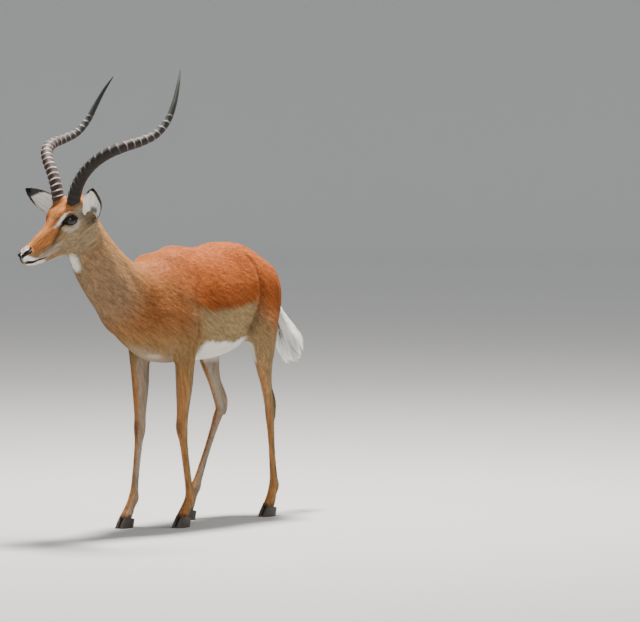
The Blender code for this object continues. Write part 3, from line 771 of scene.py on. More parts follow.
# %% The opening of an eye
EYE_OUT = unit(np.array([0.28, 0.95, 0.10]))
EYE_LONG = np.array([0.0516, -0.0140, 0.0134])
EYE_LONG = unit(EYE_LONG - EYE_OUT * (EYE_LONG @ EYE_OUT))
EYE_TALL = np.cross(EYE_LONG, EYE_OUT)
LID = 0.0017
LID_MIDDLE, LID_HALF = 0.006, 0.026  # the opening along the eye's own line
LID_UP, LID_DOWN = 0.0128, 0.0122


def folded(points):
    """Points in the head's frame, with both sides laid on the left."""
    q = in_head(points)
    q[:, 1] = np.abs(q[:, 1])
    return q


def eye_lines(q):
    """Along, up and out from the eye's middle."""
    d = q - np.array(EYE_AT)
    return d @ EYE_LONG, d @ EYE_TALL, d @ EYE_OUT


def outside_lids(along, up):
    """Distance from the almond of the opening: above 0 on the lids, below 0 in it."""
    s = (along - LID_MIDDLE) / LID_HALF
    arch = np.clip(1 - (s + 0.23 * (1 - s**2)) ** 2, 0, 1) ** 0.85
    beyond = np.hypot(np.maximum(np.abs(s) - 1, 0) * LID_HALF, up)
    return np.where(np.abs(s) < 1, np.maximum(up - LID_UP * arch, -LID_DOWN * arch - up), beyond)


def smooth_max(a, b, melt):
    h = np.clip(0.5 + 0.5 * (a - b) / melt, 0, 1)
    return b * (1 - h) + a * h + melt * h * (1 - h)


def eye_reach(points, reach=0.036):
    return np.linalg.norm(folded(points) - np.array(EYE_AT), axis=1) < reach


def nostril_reach(points):
    return np.linalg.norm(folded(points) - np.array((0.268, 0.012, -0.021)), axis=1) < 0.016


split_where(skin, lambda middles: eye_reach(middles, 0.031) | nostril_reach(middles))
points = places(skin.data)
here = eye_reach(points) & (ear_place(points)[2] == 0)
side = np.sign(in_head(points[here])[:, 1:2])
q = folded(points[here])
along, up, out = eye_lines(q)
edge = outside_lids(along, up)
step = 1e-5
RIM = 0.0007  # vertices this near the opening step onto its line
grow = np.stack([outside_lids(along + step, up) - edge, outside_lids(along, up + step) - edge], 1) / step
close = np.exp(-((edge / RIM) ** 2)) * (np.abs(edge) < RIM)
grow /= np.maximum((grow**2).sum(1, keepdims=True), 0.2)
along = along - close * edge * grow[:, 0]
up = up - close * edge * grow[:, 1]
edge = outside_lids(along, up)


def ball(radius):
    return np.sqrt(np.maximum(radius**2 - along**2 - up**2, 0))


lids = smooth_max(ball(EYE_RADIUS + LID), out, 0.004)
lids -= 0.0009 * (1 - rise(0, 0.0014, edge))
crease = np.where(up > 0, 0.0009, 0.0005)
lids -= crease * np.exp(-(((edge - 0.0050) / 0.0010) ** 2))
lids += 0.0009 * np.exp(-(((edge - 0.0105) / 0.0035) ** 2)) * (up > 0)
within = np.maximum(ball(EYE_RADIUS - 0.003), out - 0.0045)
out = np.where(edge > -0.0001, lids, within)
q = np.array(EYE_AT) + along[:, None] * EYE_LONG + up[:, None] * EYE_TALL + out[:, None] * EYE_OUT
q[:, 1:2] *= side
points[here] = np.array(HEAD_AT) + q @ HEAD_SPIN.T
put(skin.data, points)
print("lids shaped from", int(here.sum()), "vertices")

# %% Lines pressed into the skin or raised out of it
NOSTRIL = (
    (0.248, 0.0160, -0.0150), (0.2592, 0.0185, -0.0145), (0.2702, 0.0163, -0.0170),
    (0.2790, 0.0095, -0.0215), (0.2810, 0.0055, -0.0280),
)
MOUTH = (
    (0.2850, 0.0, -0.0410), (0.2800, 0.0060, -0.0470), (0.2771, 0.0149, -0.0489),
    (0.2577, 0.0213, -0.0567), (0.2349, 0.0178, -0.0650), (0.2080, 0.0168, -0.0725),
)
HEAD_LINES = (  # (line in the head's frame, reach, depth); a depth below 0 raises the skin
    (NOSTRIL, 0.0033, 0.0072),
    (((0.246, 0.0190, -0.0085), (0.2640, 0.0185, -0.0085), (0.2780, 0.0120, -0.0140)), 0.0026, -0.0012),
    (MOUTH, 0.0020, 0.0030),
    (((0.284, 0.0, -0.026), (0.2830, 0.0, -0.041)), 0.0016, 0.0016),  # groove under the nose
    (((0.2730, 0.0165, -0.0430), (0.2520, 0.0225, -0.0500)), 0.0040, -0.0009),  # upper lip
    (((0.2700, 0.0130, -0.0560), (0.2450, 0.0160, -0.0660)), 0.0040, -0.0009),  # lower lip
    (((0.128, 0.041, -0.010), (0.150, 0.033, -0.020), (0.176, 0.030, -0.031)), 0.0040, 0.0012),
    (((0.120, 0.036, -0.050), (0.126, 0.029, -0.075), (0.121, 0.024, -0.100)), 0.0090, 0.0016),
    (((0.150, 0.033, -0.040), (0.195, 0.026, -0.036), (0.238, 0.021, -0.036)), 0.0080, 0.0014),
    (((0.110, 0.045, -0.036), (0.135, 0.036, -0.042), (0.160, 0.031, -0.044)), 0.0055, -0.0012),
    (((0.055, 0.056, -0.010), (0.044, 0.055, -0.026)), 0.0100, 0.0030),  # behind the eye
    (((0.150, 0.015, 0.010), (0.200, 0.013, 0.002), (0.240, 0.011, -0.006)), 0.0050, -0.0007),
    (((0.098, 0.000, 0.030), (0.060, 0.000, 0.036)), 0.0100, 0.0012),  # between the brows
    (((0.022, 0.012, 0.030), (0.002, 0.020, 0.016)), 0.0160, 0.0050),  # nape
)


def from_line(points, line):
    """Distance from a line of points, and the share along it of the nearest place."""
    line = np.array(line, float)
    best, where = np.full(len(points), 9.0), np.zeros(len(points))
    for i, (a, b) in enumerate(zip(line, line[1:])):
        t = np.clip((points - a) @ (b - a) / ((b - a) @ (b - a)), 0, 1)
        gap = np.linalg.norm(points - a - t[:, None] * (b - a), axis=1)
        nearer = gap < best
        best[nearer], where[nearer] = gap[nearer], (i + t[nearer]) / (len(line) - 1)
    return best, where


def normals_of(mesh):
    normals = np.empty(len(mesh.vertices) * 3)
    mesh.vertices.foreach_get("normal", normals)
    return normals.reshape(-1, 3)


def press(points, lines, fold):
    """How far each point goes in, added up over lines that fade at both ends."""
    depth = np.zeros(len(points))
    q = fold(points)
    for line, reach, deep in lines:
        gap, share = from_line(q, line)
        ends = 0.35 + 0.65 * np.sin(np.pi * np.clip(share, 0, 1)) ** 0.5
        depth += deep * ends * np.exp(-((gap / reach) ** 2))
    return depth


points, normals = places(skin.data), normals_of(skin.data)
before_lines = points.copy()
here = on_the_head(points) & (ear_place(points)[2] == 0)
eye_here = eye_reach(points[here], 0.026)
pressed = press(points[here], HEAD_LINES, folded) * ~eye_here
points[here] -= normals[here] * pressed[:, None]
put(skin.data, points)
print("head lines move the skin by", pressed.min().round(4), "to", pressed.max().round(4), "m")

# %% [markdown]
# ## Sculpting the body
# Where the elbow folds, where the flank meets the thigh and down the sides of the cannon bones
# the skin dips between muscle, bone and tendon. These are shallow and broad, and they differ
# from side to side, as the legs do.

# %% Folds of the body


def body_lines(side):
    """Lines of one side as (line, reach, depth)."""
    fore, hind = FORE_JOINTS[side], HIND_JOINTS[side]
    elbow, stifle = fore[0][0], hind[0][0]

    def beside(start, rows, slip=0.0):
        return tuple((start + x + slip, y, z) for x, y, z in rows)

    behind_arm = (
        (-0.032, 0.080, 0.824), (-0.020, 0.100, 0.778), (0.008, 0.118, 0.717), (0.010, 0.128, 0.650),
        (0.002, 0.126, 0.618), (0.014, 0.121, 0.587), (0.020, 0.109, 0.555),
    )
    flank = (
        (0.065, 0.081, 0.840), (0.051, 0.090, 0.826), (0.042, 0.109, 0.782), (0.0375, 0.119, 0.729),
        (0.045, 0.118, 0.692), (0.0545, 0.1125, 0.655), (0.063, 0.099, 0.6125), (0.0515, 0.090, 0.590),
    )
    shoulder = ((0.060, 0.055, 0.815), (0.100, 0.085, 0.740), (0.120, 0.09, 0.67))
    ham = ((-0.060, 0.095, 0.745), (-0.046, 0.10, 0.62), (-0.050, 0.085, 0.52))
    lines = [
        (beside(elbow, behind_arm, -0.009), 0.009, 0.0042),
        (beside(elbow, behind_arm[3:], -0.008), 0.007, 0.0030),
        (beside(stifle, flank, -0.015), 0.011, 0.0042),
        (beside(stifle, flank[4:], -0.012), 0.010, 0.0050),
        (beside(elbow, behind_arm[1:], 0.008), 0.012, -0.0020),
        (beside(stifle, flank[1:6], 0.002), 0.008, -0.0026),
        (beside(elbow, shoulder), 0.016, 0.0020),
        (beside(stifle, ham), 0.012, 0.0026),
        (((-0.350, 0.040, 0.760), (-0.352, 0.060, 0.68)), 0.014, 0.0018),
        (((-0.160, 0.070, 0.850), (-0.190, 0.080, 0.835)), 0.016, -0.0035),
        (((0.455, 0.050, 0.900), (0.360, 0.065, 0.760), (0.290, 0.060, 0.670)), 0.018, 0.0036),
        (((0.455, 0.035, 0.985), (0.330, 0.050, 0.850)), 0.020, 0.0022),
    ]
    for joints, spread in ((fore, FORE_SPREAD), (hind, HIND_SPREAD)):
        (x0, z0), (x1, z1) = joints[1], joints[2]
        for out in (0.012, -0.012):
            high = (x0 * 0.82 + x1 * 0.18 - 0.004, spread[1] + out, z0 * 0.82 + z1 * 0.18)
            low = (x0 * 0.18 + x1 * 0.82 - 0.004, spread[2] + out, z0 * 0.18 + z1 * 0.82)
            lines.append(((high, low), 0.0045, 0.0020))
    return lines


MID_LINES = (
    (((-0.372, 0.0, 0.700), (-0.352, 0.0, 0.620), (-0.318, 0.0, 0.560)), 0.012, 0.0120),
    (((0.360, 0.0, 0.640), (0.300, 0.0, 0.575)), 0.016, 0.0040),
)
RIBS = [
    (((0.085 - 0.036 * i, 0.120, 0.735), (0.070 - 0.038 * i, 0.127, 0.640)), 0.009, 0.0009)
    for i in range(6)
]
BODY_FOLDS = 4  # the first lines of body_lines are the folds that also carry painted shade

normals = normals_of(skin.data)
for side, _ in SIDES:
    here = (points[:, 1] * side > -0.004) & (head_share(points) < 0.5)
    deep = press(points[here], body_lines(side) + RIBS, lambda p: p * (1, side, 1))
    points[here] -= normals[here] * deep[:, None]
here = (np.abs(points[:, 1]) < 0.05) & (head_share(points) < 0.5)
points[here] -= normals[here] * press(points[here], MID_LINES, np.array)[:, None]
put(skin.data, points)
print("skin has", sum(len(face.vertices) - 2 for face in skin.data.polygons), "triangles")

# %% [markdown]
# ## The markings
# An impala is rufous over the back, tan to fawn down the sides and white below, with a black
# stripe down each buttock, black tufts above the hind fetlocks, white lips, chin, throat and
# brows, and dark marks on the forehead and in front of the eye. The markings are worked out
# from where a point is and which way it faces, as soft regions and strokes. Some shares also
# carry painted light: painted shade in creases, at joints, under the neck and inside the legs,
# and a painted highlight on the flank fold. Skin and hair ask the same function, so they
# always agree.

# %% Regions of the coat
MANTLE_EDGE = (  # the lower edge of the rufous saddle as (x, z)
    (-0.360, 0.690), (-0.290, 0.655), (-0.250, 0.645), (-0.200, 0.670), (-0.163, 0.705),
    (-0.120, 0.700), (-0.047, 0.689), (0.051, 0.688), (0.125, 0.700), (0.190, 0.725),
    (0.260, 0.765), (0.330, 0.860), (0.420, 0.960),
)
BELLY_EDGE = (  # the upper edge of the white belly
    (-0.250, 0.600), (-0.150, 0.590), (-0.120, 0.583), (-0.060, 0.577), (0.045, 0.5825), (0.120, 0.572),
    (0.200, 0.555), (0.300, 0.570), (0.350, 0.585),
)
RUMP_STRIPE = (
    (-0.300, 0.046, 0.812), (-0.335, 0.052, 0.780), (-0.356, 0.054, 0.720), (-0.350, 0.055, 0.650),
    (-0.330, 0.055, 0.590),
)
THROAT = ((0.566, -0.022, 0.856), (0.556, -0.020, 0.836))

# %% Brushes: ragged edges, spots, strokes and windows


def wander(points, size):
    """A smooth random number from -1 to 1 at each place, so that edges are not ruled lines."""
    a = points @ np.array([[0.9, -0.3, 0.2], [0.2, 0.8, -0.5], [-0.4, 0.5, 0.9]]) / size
    waves = np.sin(a[:, 0] + 1.7 * np.sin(a[:, 1])) + np.sin(1.3 * a[:, 1] + 2.1 * np.sin(a[:, 2]))
    return 0.4 * waves + 0.2 * np.sin(2.3 * a[:, 2] + a[:, 0])


def edge_of(rows, x):
    return np.interp(x, *zip(*rows))


def spot(points, centre, reach):
    """1 inside a soft rounded place."""
    return 1 - rise(0.55, 1.15, np.linalg.norm((points - centre) / np.array(reach), axis=1))


def stroke(points, line, wide, soft):
    """1 along a soft line, with one half width or several from its start to its end."""
    gap, share = from_line(points, line)
    half = np.interp(share, np.linspace(0, 1, np.size(wide)), np.atleast_1d(wide))
    return 1 - rise(half - soft, half + soft, gap)


def window(a, b, c, d, value):
    """0 below a and above d, 1 from b to c, eased between."""
    return rise(a, b, value) * (1 - rise(c, d, value))

# %% The saddle, and the outer sides of the legs


def on_bone(hand, bone, share, slip, out):
    """A place share of the way down a bone of the hind leg, moved by slip along X."""
    (x0, z0), (x1, z1) = HIND_JOINTS[hand][bone : bone + 2]
    return (x0 * (1 - share) + x1 * share + slip, hand * out, z0 * (1 - share) + z1 * share)


def outside_legs(p, inward):
    """1 close to the upper bones of a leg, on its outer side."""
    near = np.zeros(len(p))
    for _, table, spread in LEG_TABLES:
        for hand, _ in SIDES:
            gap = from_line(p, joints_of(table, spread, hand)[:3])[0]
            near = np.maximum(near, 1 - rise(0.045, 0.085, gap))
    return near * rise(-0.35, 0.10, -inward)


def mantle_share(p, inward, above, neck):
    """The saddle, sharp below the ribs and faded over shoulder and thigh, and its low edge."""
    x, _, z = p.T
    front, haunch = rise(0.06, 0.20, x), rise(0.14, 0.20, -x)
    soft = 0.014 + 0.10 * front + 0.10 * haunch
    mantle = rise(-soft, soft * 0.6, above) * (1 - 0.15 * front)
    shoulder = 0.66 * front * rise(0.54, 0.70, z) * rise(-0.3, 0.2, -inward)
    mantle = np.maximum(mantle, shoulder)
    low_edge = 0.08 * mantle * (1 - rise(0.0, 0.08, above)) * (1 - front) * (1 - haunch)
    return mantle * (1 - 0.55 * neck) * (1 - 0.45 * rise(0.27, 0.34, -x)), low_edge

# %% White underneath


def white_share(p, n, ragged, inward, outer_leg):
    """Belly, inner sides of the legs, rump and the low chest."""
    x, y, z = p.T
    side = np.abs(y)
    q = np.stack([x, side, z], 1)
    belly = rise(-0.007, 0.007, edge_of(BELLY_EDGE, x) - z + ragged)
    belly *= 0.86 * window(-0.262, -0.235, 0.115, 0.135, x) * rise(0.49, 0.52, z) * (1 - outer_leg)
    inner = 0.08 * rise(0.15, 0.6, inward) * window(0.20, 0.36, 0.60, 0.66, z)
    for hand, strong in ((LEFT, 0.50), (RIGHT, 0.22)):
        stifle, hock = HIND_JOINTS[hand][:2]
        top = (stifle[0] + 0.020, hand * 0.062, stifle[1] - 0.06)
        end = (hock[0] + 0.008, hand * 0.060, hock[1] + 0.012)
        pale = (top, on_bone(hand, 0, 0.55, 0.016, 0.066), end)
        inner = np.maximum(inner, strong * stroke(p, pale, 0.009, 0.007))
    shin = 0.18 * rise(0.2, 0.7, inward) * window(0.10, 0.2, 0.20, 0.36, z)
    buttock = rise(0.312, 0.335, -x) * (1 - rise(0.036, 0.046, side + ragged * 0.4))
    buttock *= window(0.50, 0.54, 0.765, 0.785, z)
    back_thigh = rise(0.2, 0.7, -n[:, 0]) * window(0.36, 0.42, 0.58, 0.64, z)
    back_thigh *= (1 - rise(0.045, 0.075, side)) * rise(0.19, 0.24, -x)
    chest = 0.30 * spot(q, (0.262, 0.040, 0.543), (0.060, 0.035, 0.014))
    low_chest = 0.14 * rise(0.13, 0.18, x) * rise(0.55, 0.9, -n[:, 2])
    low_chest *= window(0.50, 0.53, 0.56, 0.60, z)
    parts = [belly, inner, shin, buttock, back_thigh, chest, low_chest]
    return np.clip(np.maximum.reduce(parts), 0, 1)

# %% Black stripes and tufts, and painted shade


def black_share(p, n, ragged, inward, neck):
    """Stripes of rump and tail, tufts above the hooves; painted shade on joints, folds, neck and legs."""
    x, y, z = p.T
    side, backward = np.abs(y), -n[:, 0]
    stripe = stroke(np.stack([x, side, z], 1), RUMP_STRIPE, 0.0085, 0.004)
    stripe *= rise(0.1, 0.5, backward + 0.6 * np.abs(n[:, 1])) * rise(0.25, 0.32, -x)
    tail_top = 0.8 * rise(0.28, 0.32, -x) * (1 - rise(0.0035, 0.0075, side))
    tail_top *= rise(0.795, 0.80, z + 0.25 * (x + 0.36))
    coronet = 0.75 * (1 - rise(0.036, 0.050, z + ragged * 0.4))
    parts = [stripe, tail_top, coronet]
    for hand, _ in SIDES:
        out = HIND_SPREAD[2] + 0.001
        shank = (on_bone(hand, 1, 0.87, -0.010, out), on_bone(hand, 1, 0.70, -0.008, out))
        # Painted shade on the knee, at the back of the calf and behind the hock; the shank line is the black
        # tuft above the hind fetlock
        knee_x, knee_z = FORE_JOINTS[hand][1]
        knee_shade = spot(p, (knee_x + 0.018, hand * 0.068, knee_z + 0.004), (0.014, 0.020, 0.030))
        calf_gap_shade = (on_bone(hand, 0, 0.45, -0.034, 0.080), on_bone(hand, 0, 0.95, -0.018, 0.074))
        hock_x, hock_z = HIND_JOINTS[hand][1]
        hock = spot(p, (hock_x - 0.016, hand * 0.072, hock_z + 0.006), (0.018, 0.022, 0.036))
        parts += [
            stroke(p, shank, 0.0125, 0.004) * rise(-0.1, 0.5, backward + 0.35 * np.abs(n[:, 1])),
            0.35 * knee_shade,
            0.62 * stroke(p, calf_gap_shade, 0.013, 0.009) * rise(-0.2, 0.6, backward),
            0.55 * hock * rise(-0.3, 0.5, backward),
        ]
        here = (y * hand > 0) & (x > -0.35) & (x < 0.35) & (z > 0.45)
        # Painted shade along the first folds of body_lines, darker where they are pressed deeper
        folds = np.zeros(len(p))
        deep = press(p[here], body_lines(hand)[:BODY_FOLDS], lambda near: near * (1, hand, 1))
        folds[here] = np.clip(deep / 0.0060, 0, 1) * 0.34
        parts.append(folds)
    # Painted shade under the neck, where it faces forward and down
    neck_underside_shade = 0.16 * neck * rise(0.1, 0.7, n[:, 0] - 0.6 * n[:, 2]) * (1 - rise(0.80, 0.86, z))
    # Painted shade on the inner sides of the legs
    inside = 0.16 * rise(0.15, 0.6, inward) * window(0.10, 0.2, 0.56, 0.62, z)
    return np.maximum.reduce([*parts, neck_underside_shade, inside])

# %% The shares of the body


def body_marks(p, n):
    """Shares of mantle, white, black, grey, rust and fawn on the body."""
    x, y, z = p.T
    ragged = 0.006 * wander(p, 0.016) + 0.004 * wander(p, 0.005)
    inward, forward = -n[:, 1] * np.sign(y), n[:, 0]
    above = z - edge_of(MANTLE_EDGE, x) + ragged
    neck = rise(0.26, 0.42, x + 0.4 * (z - 0.8))
    outer_leg = outside_legs(p, inward)
    mantle, low_edge = mantle_share(p, inward, above, neck)
    white = white_share(p, n, ragged, inward, outer_leg)
    black = np.maximum(black_share(p, n, ragged, inward, neck), low_edge)
    grey = 0.26 * neck * (1 - rise(0.0, 0.5, n[:, 2])) * rise(0.60, 0.70, z)
    grey = np.maximum(grey, 0.55 * rise(0.15, 0.6, inward) * (1 - rise(0.60, 0.66, z)))
    rust = 0.45 * rise(0.86, 0.98, z) * rise(0.1, 0.8, n[:, 2]) * neck
    rust = np.maximum(rust, 0.50 * (1 - rise(0.42, 0.56, z)) * rise(0.0, 0.7, forward))
    flank = (1 - rise(-0.014, 0.008, above)) * window(-0.20, -0.16, 0.10, 0.20, x) * rise(0.54, 0.57, z)
    flank *= 0.9 * (1 - outer_leg * 0.8)
    # Painted highlight: a pale fawn patch on the flank fold in front of the thigh
    fold = 0.8 * spot(np.stack([x, np.abs(y), z], 1), (-0.180, 0.118, 0.690), (0.016, 0.05, 0.022))
    thigh = 0.75 * (1 - rise(-0.02, 0.06, above)) * rise(0.13, 0.19, -x) * rise(0.28, 0.40, z)
    shins = 0.55 * (1 - rise(0.40, 0.52, z)) * (1 - 0.6 * rise(0.0, 0.7, forward))
    fawn = np.clip(np.maximum.reduce([flank, fold, thigh, shins]), 0, 1)
    return [mantle, white, black, grey, rust, fawn]

# %% Lines of the face
FACE_STROKES = {  # lines in the head's frame
    "brow": (
        (0.1489, 0.026, -0.0036), (0.1316, 0.0327, 0.0025), (0.1166, 0.0391, 0.0118),
        (0.1030, 0.0425, 0.0175), (0.0881, 0.0457, 0.0180), (0.0780, 0.0514, 0.0100),
    ),
    "under eye": (
        (0.1240, 0.0410, -0.0220), (0.1077, 0.0486, -0.0350), (0.0892, 0.0536, -0.0350),
        (0.0760, 0.0548, -0.0240),
    ),
    "tear": (
        (0.1160, 0.0440, -0.0020), (0.1263, 0.0402, -0.0048), (0.1386, 0.0361, -0.0127),
        (0.1450, 0.0345, -0.0170),
    ),
    "comma": (
        (0.2461, 0.0132, -0.0137), (0.2521, 0.0194, -0.0179), (0.2623, 0.0218, -0.0170),
        (0.2708, 0.0162, -0.0180), (0.2769, 0.0116, -0.0200), (0.2825, 0.0040, -0.0260),
        (0.2840, 0.0004, -0.0340), (0.2845, 0.0004, -0.0485),
    ),
    "upper lip": (
        (0.2808, 0.0110, -0.0310), (0.2737, 0.0194, -0.0350), (0.2650, 0.0215, -0.0450),
        (0.2426, 0.0201, -0.0575),
    ),
    "chin": (
        (0.2815, 0.0030, -0.0565), (0.2643, 0.0140, -0.0610), (0.2453, 0.0140, -0.0700),
        (0.2250, 0.0110, -0.0770),
    ),
    "ear root": (
        (0.0461, 0.0548, -0.0116), (0.0440, 0.0576, -0.0273), (0.0415, 0.0573, -0.0450),
        (0.0340, 0.0640, -0.0480),
    ),
}
FACE_EDGE = (  # where the orange of the bridge ends, as (x, z) of the head
    (0.120, 0.000), (0.1414, -0.0146), (0.1525, -0.0223), (0.1682, -0.0344), (0.1851, -0.0440),
    (0.2013, -0.0467), (0.2172, -0.0437), (0.2500, -0.0300),
)

# %% The shares of the head


def head_marks(p, n):
    """The same shares on the head, and how bare the skin is there."""
    plain = folded(p)
    q = plain + (0.0016 * wander(p, 0.006))[:, None]
    x, _, z = plain.T
    m = n @ HEAD_SPIN
    along, up, _ = eye_lines(plain)
    edge = outside_lids(along, up)
    near_eye = np.linalg.norm(plain - np.array(EYE_AT), axis=1) < 0.040

    def line(name, wide, soft):
        return stroke(q, FACE_STROKES[name], wide, soft)

    forehead = rise(0.0, 0.022, z) * rise(0.1, 0.7, m[:, 2]) * (1 - rise(0.13, 0.19, x))
    over_edge = z - edge_of(FACE_EDGE, x) + 0.003 * wander(p, 0.008)
    bridge = rise(-0.006, 0.008, over_edge) * window(0.118, 0.140, 0.245, 0.272, x)
    crown = 1 - rise(0.012, 0.040, x)
    mantle = np.maximum(0.45 * forehead, 0.6 * crown * rise(0.0, 0.5, m[:, 2]))
    red = spot(q, (0.066, 0.0, 0.036), (0.030, 0.030, 0.014))
    rust = np.maximum.reduce([0.80 * bridge, 0.9 * red, 0.55 * forehead])
    under = 0.55 * rise(0.5, 0.9, -m[:, 2]) * window(0.06, 0.10, 0.20, 0.24, x)
    under_eye = 0.24 * line("under eye", 0.0060, 0.0058)
    brow = line("brow", (0.0030, 0.0046, 0.0046, 0.0036, 0.0025, 0.0015), 0.0028)
    brow *= 0.35 + 0.50 * rise(0.080, 0.115, x)
    lip = 0.95 * line("upper lip", (0.0085, 0.0080, 0.0060, 0.0030), 0.0025)
    lip *= 0.45 + 0.55 * rise(0.245, 0.265, x)
    chin = 0.80 * line("chin", (0.008, 0.009, 0.009, 0.006), 0.004)
    nose_top = 0.30 * spot(q, (0.262, 0.010, -0.008), (0.020, 0.020, 0.008))
    nose_front = 0.60 * rise(0.264, 0.272, x) * rise(-0.030, -0.022, z)
    white = np.maximum.reduce([lip, chin, under, under_eye, brow, nose_top, nose_front])
    comma_wide = (0.0034, 0.0070, 0.0082, 0.0076, 0.0066, 0.0060, 0.0068, 0.0072)
    comma = stroke(plain, FACE_STROKES["comma"], comma_wide, 0.0010)
    lips = stroke(plain, MOUTH, (0.0070, 0.0064, 0.0056, 0.0048, 0.0036, 0.0016), 0.0012)
    rims = near_eye * (1 - rise(0.0026, 0.0050, edge))
    horn_foot = 0.45 * spot(q, (0.054, 0.037, 0.028), (0.028, 0.028, 0.018))
    jaw_spot = 0.8 * spot(q, (0.149, 0.006, -0.108), (0.008, 0.012, 0.008))
    stain = np.exp(-(((over_edge + 0.003) / 0.0095) ** 2)) * rise(0.128, 0.142, x)
    stain *= (0.36 + 0.30 * (1 - rise(0.170, 0.205, x))) * (1 - rise(0.215, 0.235, x))
    tear = line("tear", (0.0040, 0.0050, 0.0040, 0.0015), 0.0016)
    root = 0.55 * line("ear root", 0.0130, 0.0080)
    behind_eye = spot(q, (0.060, 0.056, -0.010), (0.024, 0.02, 0.034))
    black = np.maximum.reduce(
        [tear, stain, comma, lips, rims, horn_foot, jaw_spot, 0.35 * red, root, 0.24 * behind_eye]
    )
    cheek = spot(q, (0.085, 0.04, -0.080), (0.100, 0.04, 0.060))
    lip_side = spot(q, (0.195, 0.022, -0.062), (0.070, 0.02, 0.022))
    eye_bag = 0.7 * line("under eye", 0.010, 0.007)
    grey = np.maximum.reduce([0.85 * behind_eye, 0.36 * cheek, 0.80 * lip_side, eye_bag, root])
    fawn = 0.35 * cheek
    comma_bare = (0.0060, 0.0115, 0.0125, 0.0120, 0.0105, 0.0090)
    round_comma = stroke(plain, FACE_STROKES["comma"], comma_bare, 0.0020)
    round_lips = stroke(plain, MOUTH, (0.0090, 0.0084, 0.0074, 0.0064, 0.0050, 0.0030), 0.0020)
    bare = np.maximum.reduce([near_eye * (1 - rise(0.0016, 0.0036, edge)), round_comma, round_lips])
    return [mantle, white, black, grey, rust, fawn], bare

# %% The shares of the ears
REAR_RIMS = {  # (share along, share across): how far the black of the rear edge reaches
    LEFT: ((0.40, -0.97), (0.53, -0.50), (0.65, -0.26), (0.78, 0.0), (0.86, 0.45), (0.92, 1.10)),
    RIGHT: ((0.40, -1.0), (0.55, -0.92), (0.66, -0.84), (0.73, -0.50), (0.79, 0.10), (0.85, 1.10)),
}


def ear_marks(p, n):
    """The same shares on the ears: pale inside, tan behind, black at the tip and rim."""
    along, across, which = ear_place(p)
    inside = np.zeros(len(p))
    for side, _ in SIDES:
        face = ear_frame(side)[2]
        inside = np.where(which == side, rise(-0.25, 0.25, n @ face), inside)
    rear = np.where(which == LEFT, *(edge_of(REAR_RIMS[side], along) for side in (LEFT, RIGHT)))
    rim = 1 - rise(rear - 0.05, rear + 0.05, across + 0.04 * wander(p, 0.004))
    front_edge = 0.93 - 0.22 * rise(0.60, 0.80, along)
    front_rim = rise(front_edge - 0.03, front_edge + 0.03, across) * rise(0.12, 0.30, along)
    right_share = 1 - 0.45 * window(0.28, 0.36, 0.60, 0.72, along)
    faded = np.where(which == LEFT, rise(0.60, 0.80, along), right_share)
    rim = np.maximum(rim, front_rim * faded)
    tip = rise(0.84, 0.90, along + 0.02 * wander(p, 0.004))
    canal = window(0.08, 0.14, 0.20, 0.32, along) * (1 - rise(0.20, 0.45, np.abs(across)))
    streaks = np.exp(-(((np.abs(across) - 0.38) / 0.07) ** 2)) + np.exp(-((across / 0.06) ** 2))
    streaks *= window(0.20, 0.35, 0.65, 0.85, along) * (0.6 + 0.5 * wander(p, 0.004))
    black = np.maximum.reduce([tip, 0.95 * rim, 0.85 * canal * inside, 0.42 * streaks * inside])
    black = np.clip(black, 0, 1)
    white = inside * (1 - rise(0.88, 0.98, along)) * 0.97
    foot = 1 - rise(0.06, 0.24, along)
    grey = (0.35 + 0.45 * foot) * (1 - inside)
    black = np.maximum(black, 0.40 * foot * (1 - inside))
    zero = 0 * along
    return [0.5 * (1 - inside) * (1 - foot), white, black, grey, zero, zero], which

# %% Write the marks on the skin


def marks(points, normals):
    """Six shares, and bareness, for every point: one row each."""
    share = head_share(points)
    total = np.array(body_marks(points, normals)) * (1 - share)
    bare = np.zeros(len(points))
    on = share > 0
    on_face, bare[on] = head_marks(points[on], normals[on])
    total[:, on] += np.array(on_face) * share[on]
    on_ears, which = ear_marks(points, normals)
    ears = which != 0
    total[:, ears] = np.array(on_ears)[:, ears]
    total[1] = np.maximum(total[1], 0.78 * stroke(points, THROAT, 0.016, 0.008))
    bare[ears] = 0
    return np.clip(np.vstack([total, bare]), 0, 1)


def write_colour(mesh, name, red, green, blue):
    """Three numbers for each vertex, kept under one name."""
    layer = mesh.attributes.new(name, "FLOAT_COLOR", "POINT")
    rows = np.stack([red, green, blue, np.ones(len(red))], 1).astype(np.float32)
    layer.data.foreach_set("color", rows.ravel())


def write_marks(mesh, rows, shade, height):
    mantle, white, black, grey, rust, fawn, bare = rows
    write_colour(mesh, "marks_a", mantle, white, black)
    write_colour(mesh, "marks_b", grey, rust, fawn)
    write_colour(mesh, "marks_c", shade, height, bare)


points, normals = places(skin.data), normals_of(skin.data)
skin_marks = marks(before_lines, normals)
write_marks(skin.data, skin_marks, np.full(len(points), 0.5), np.full(len(points), 0.4))
print("mean shares over the skin", skin_marks.mean(1).round(3))

# %% [markdown]
# ## The finish of the coat
# Two effects are shared by every material of the coat. "coat colours" lays the marking shares
# over tan, one after the other, with a slow drift of tone and the random shade of each tuft.
# "hair streaks" is fine noise drawn out along the lie of the hair, in one constant direction
# for each part of the body, for the colour and the bump.

# %% Node groups
TAN = (0.205, 0.122, 0.050, 1)
MANTLE = (0.228, 0.058, 0.013, 1)
WHITE = (0.860, 0.835, 0.785, 1)
BLACK = (0.018, 0.014, 0.012, 1)
GREY = (0.300, 0.242, 0.175, 1)
RUST = (0.400, 0.140, 0.040, 1)
FAWN = (0.245, 0.170, 0.086, 1)


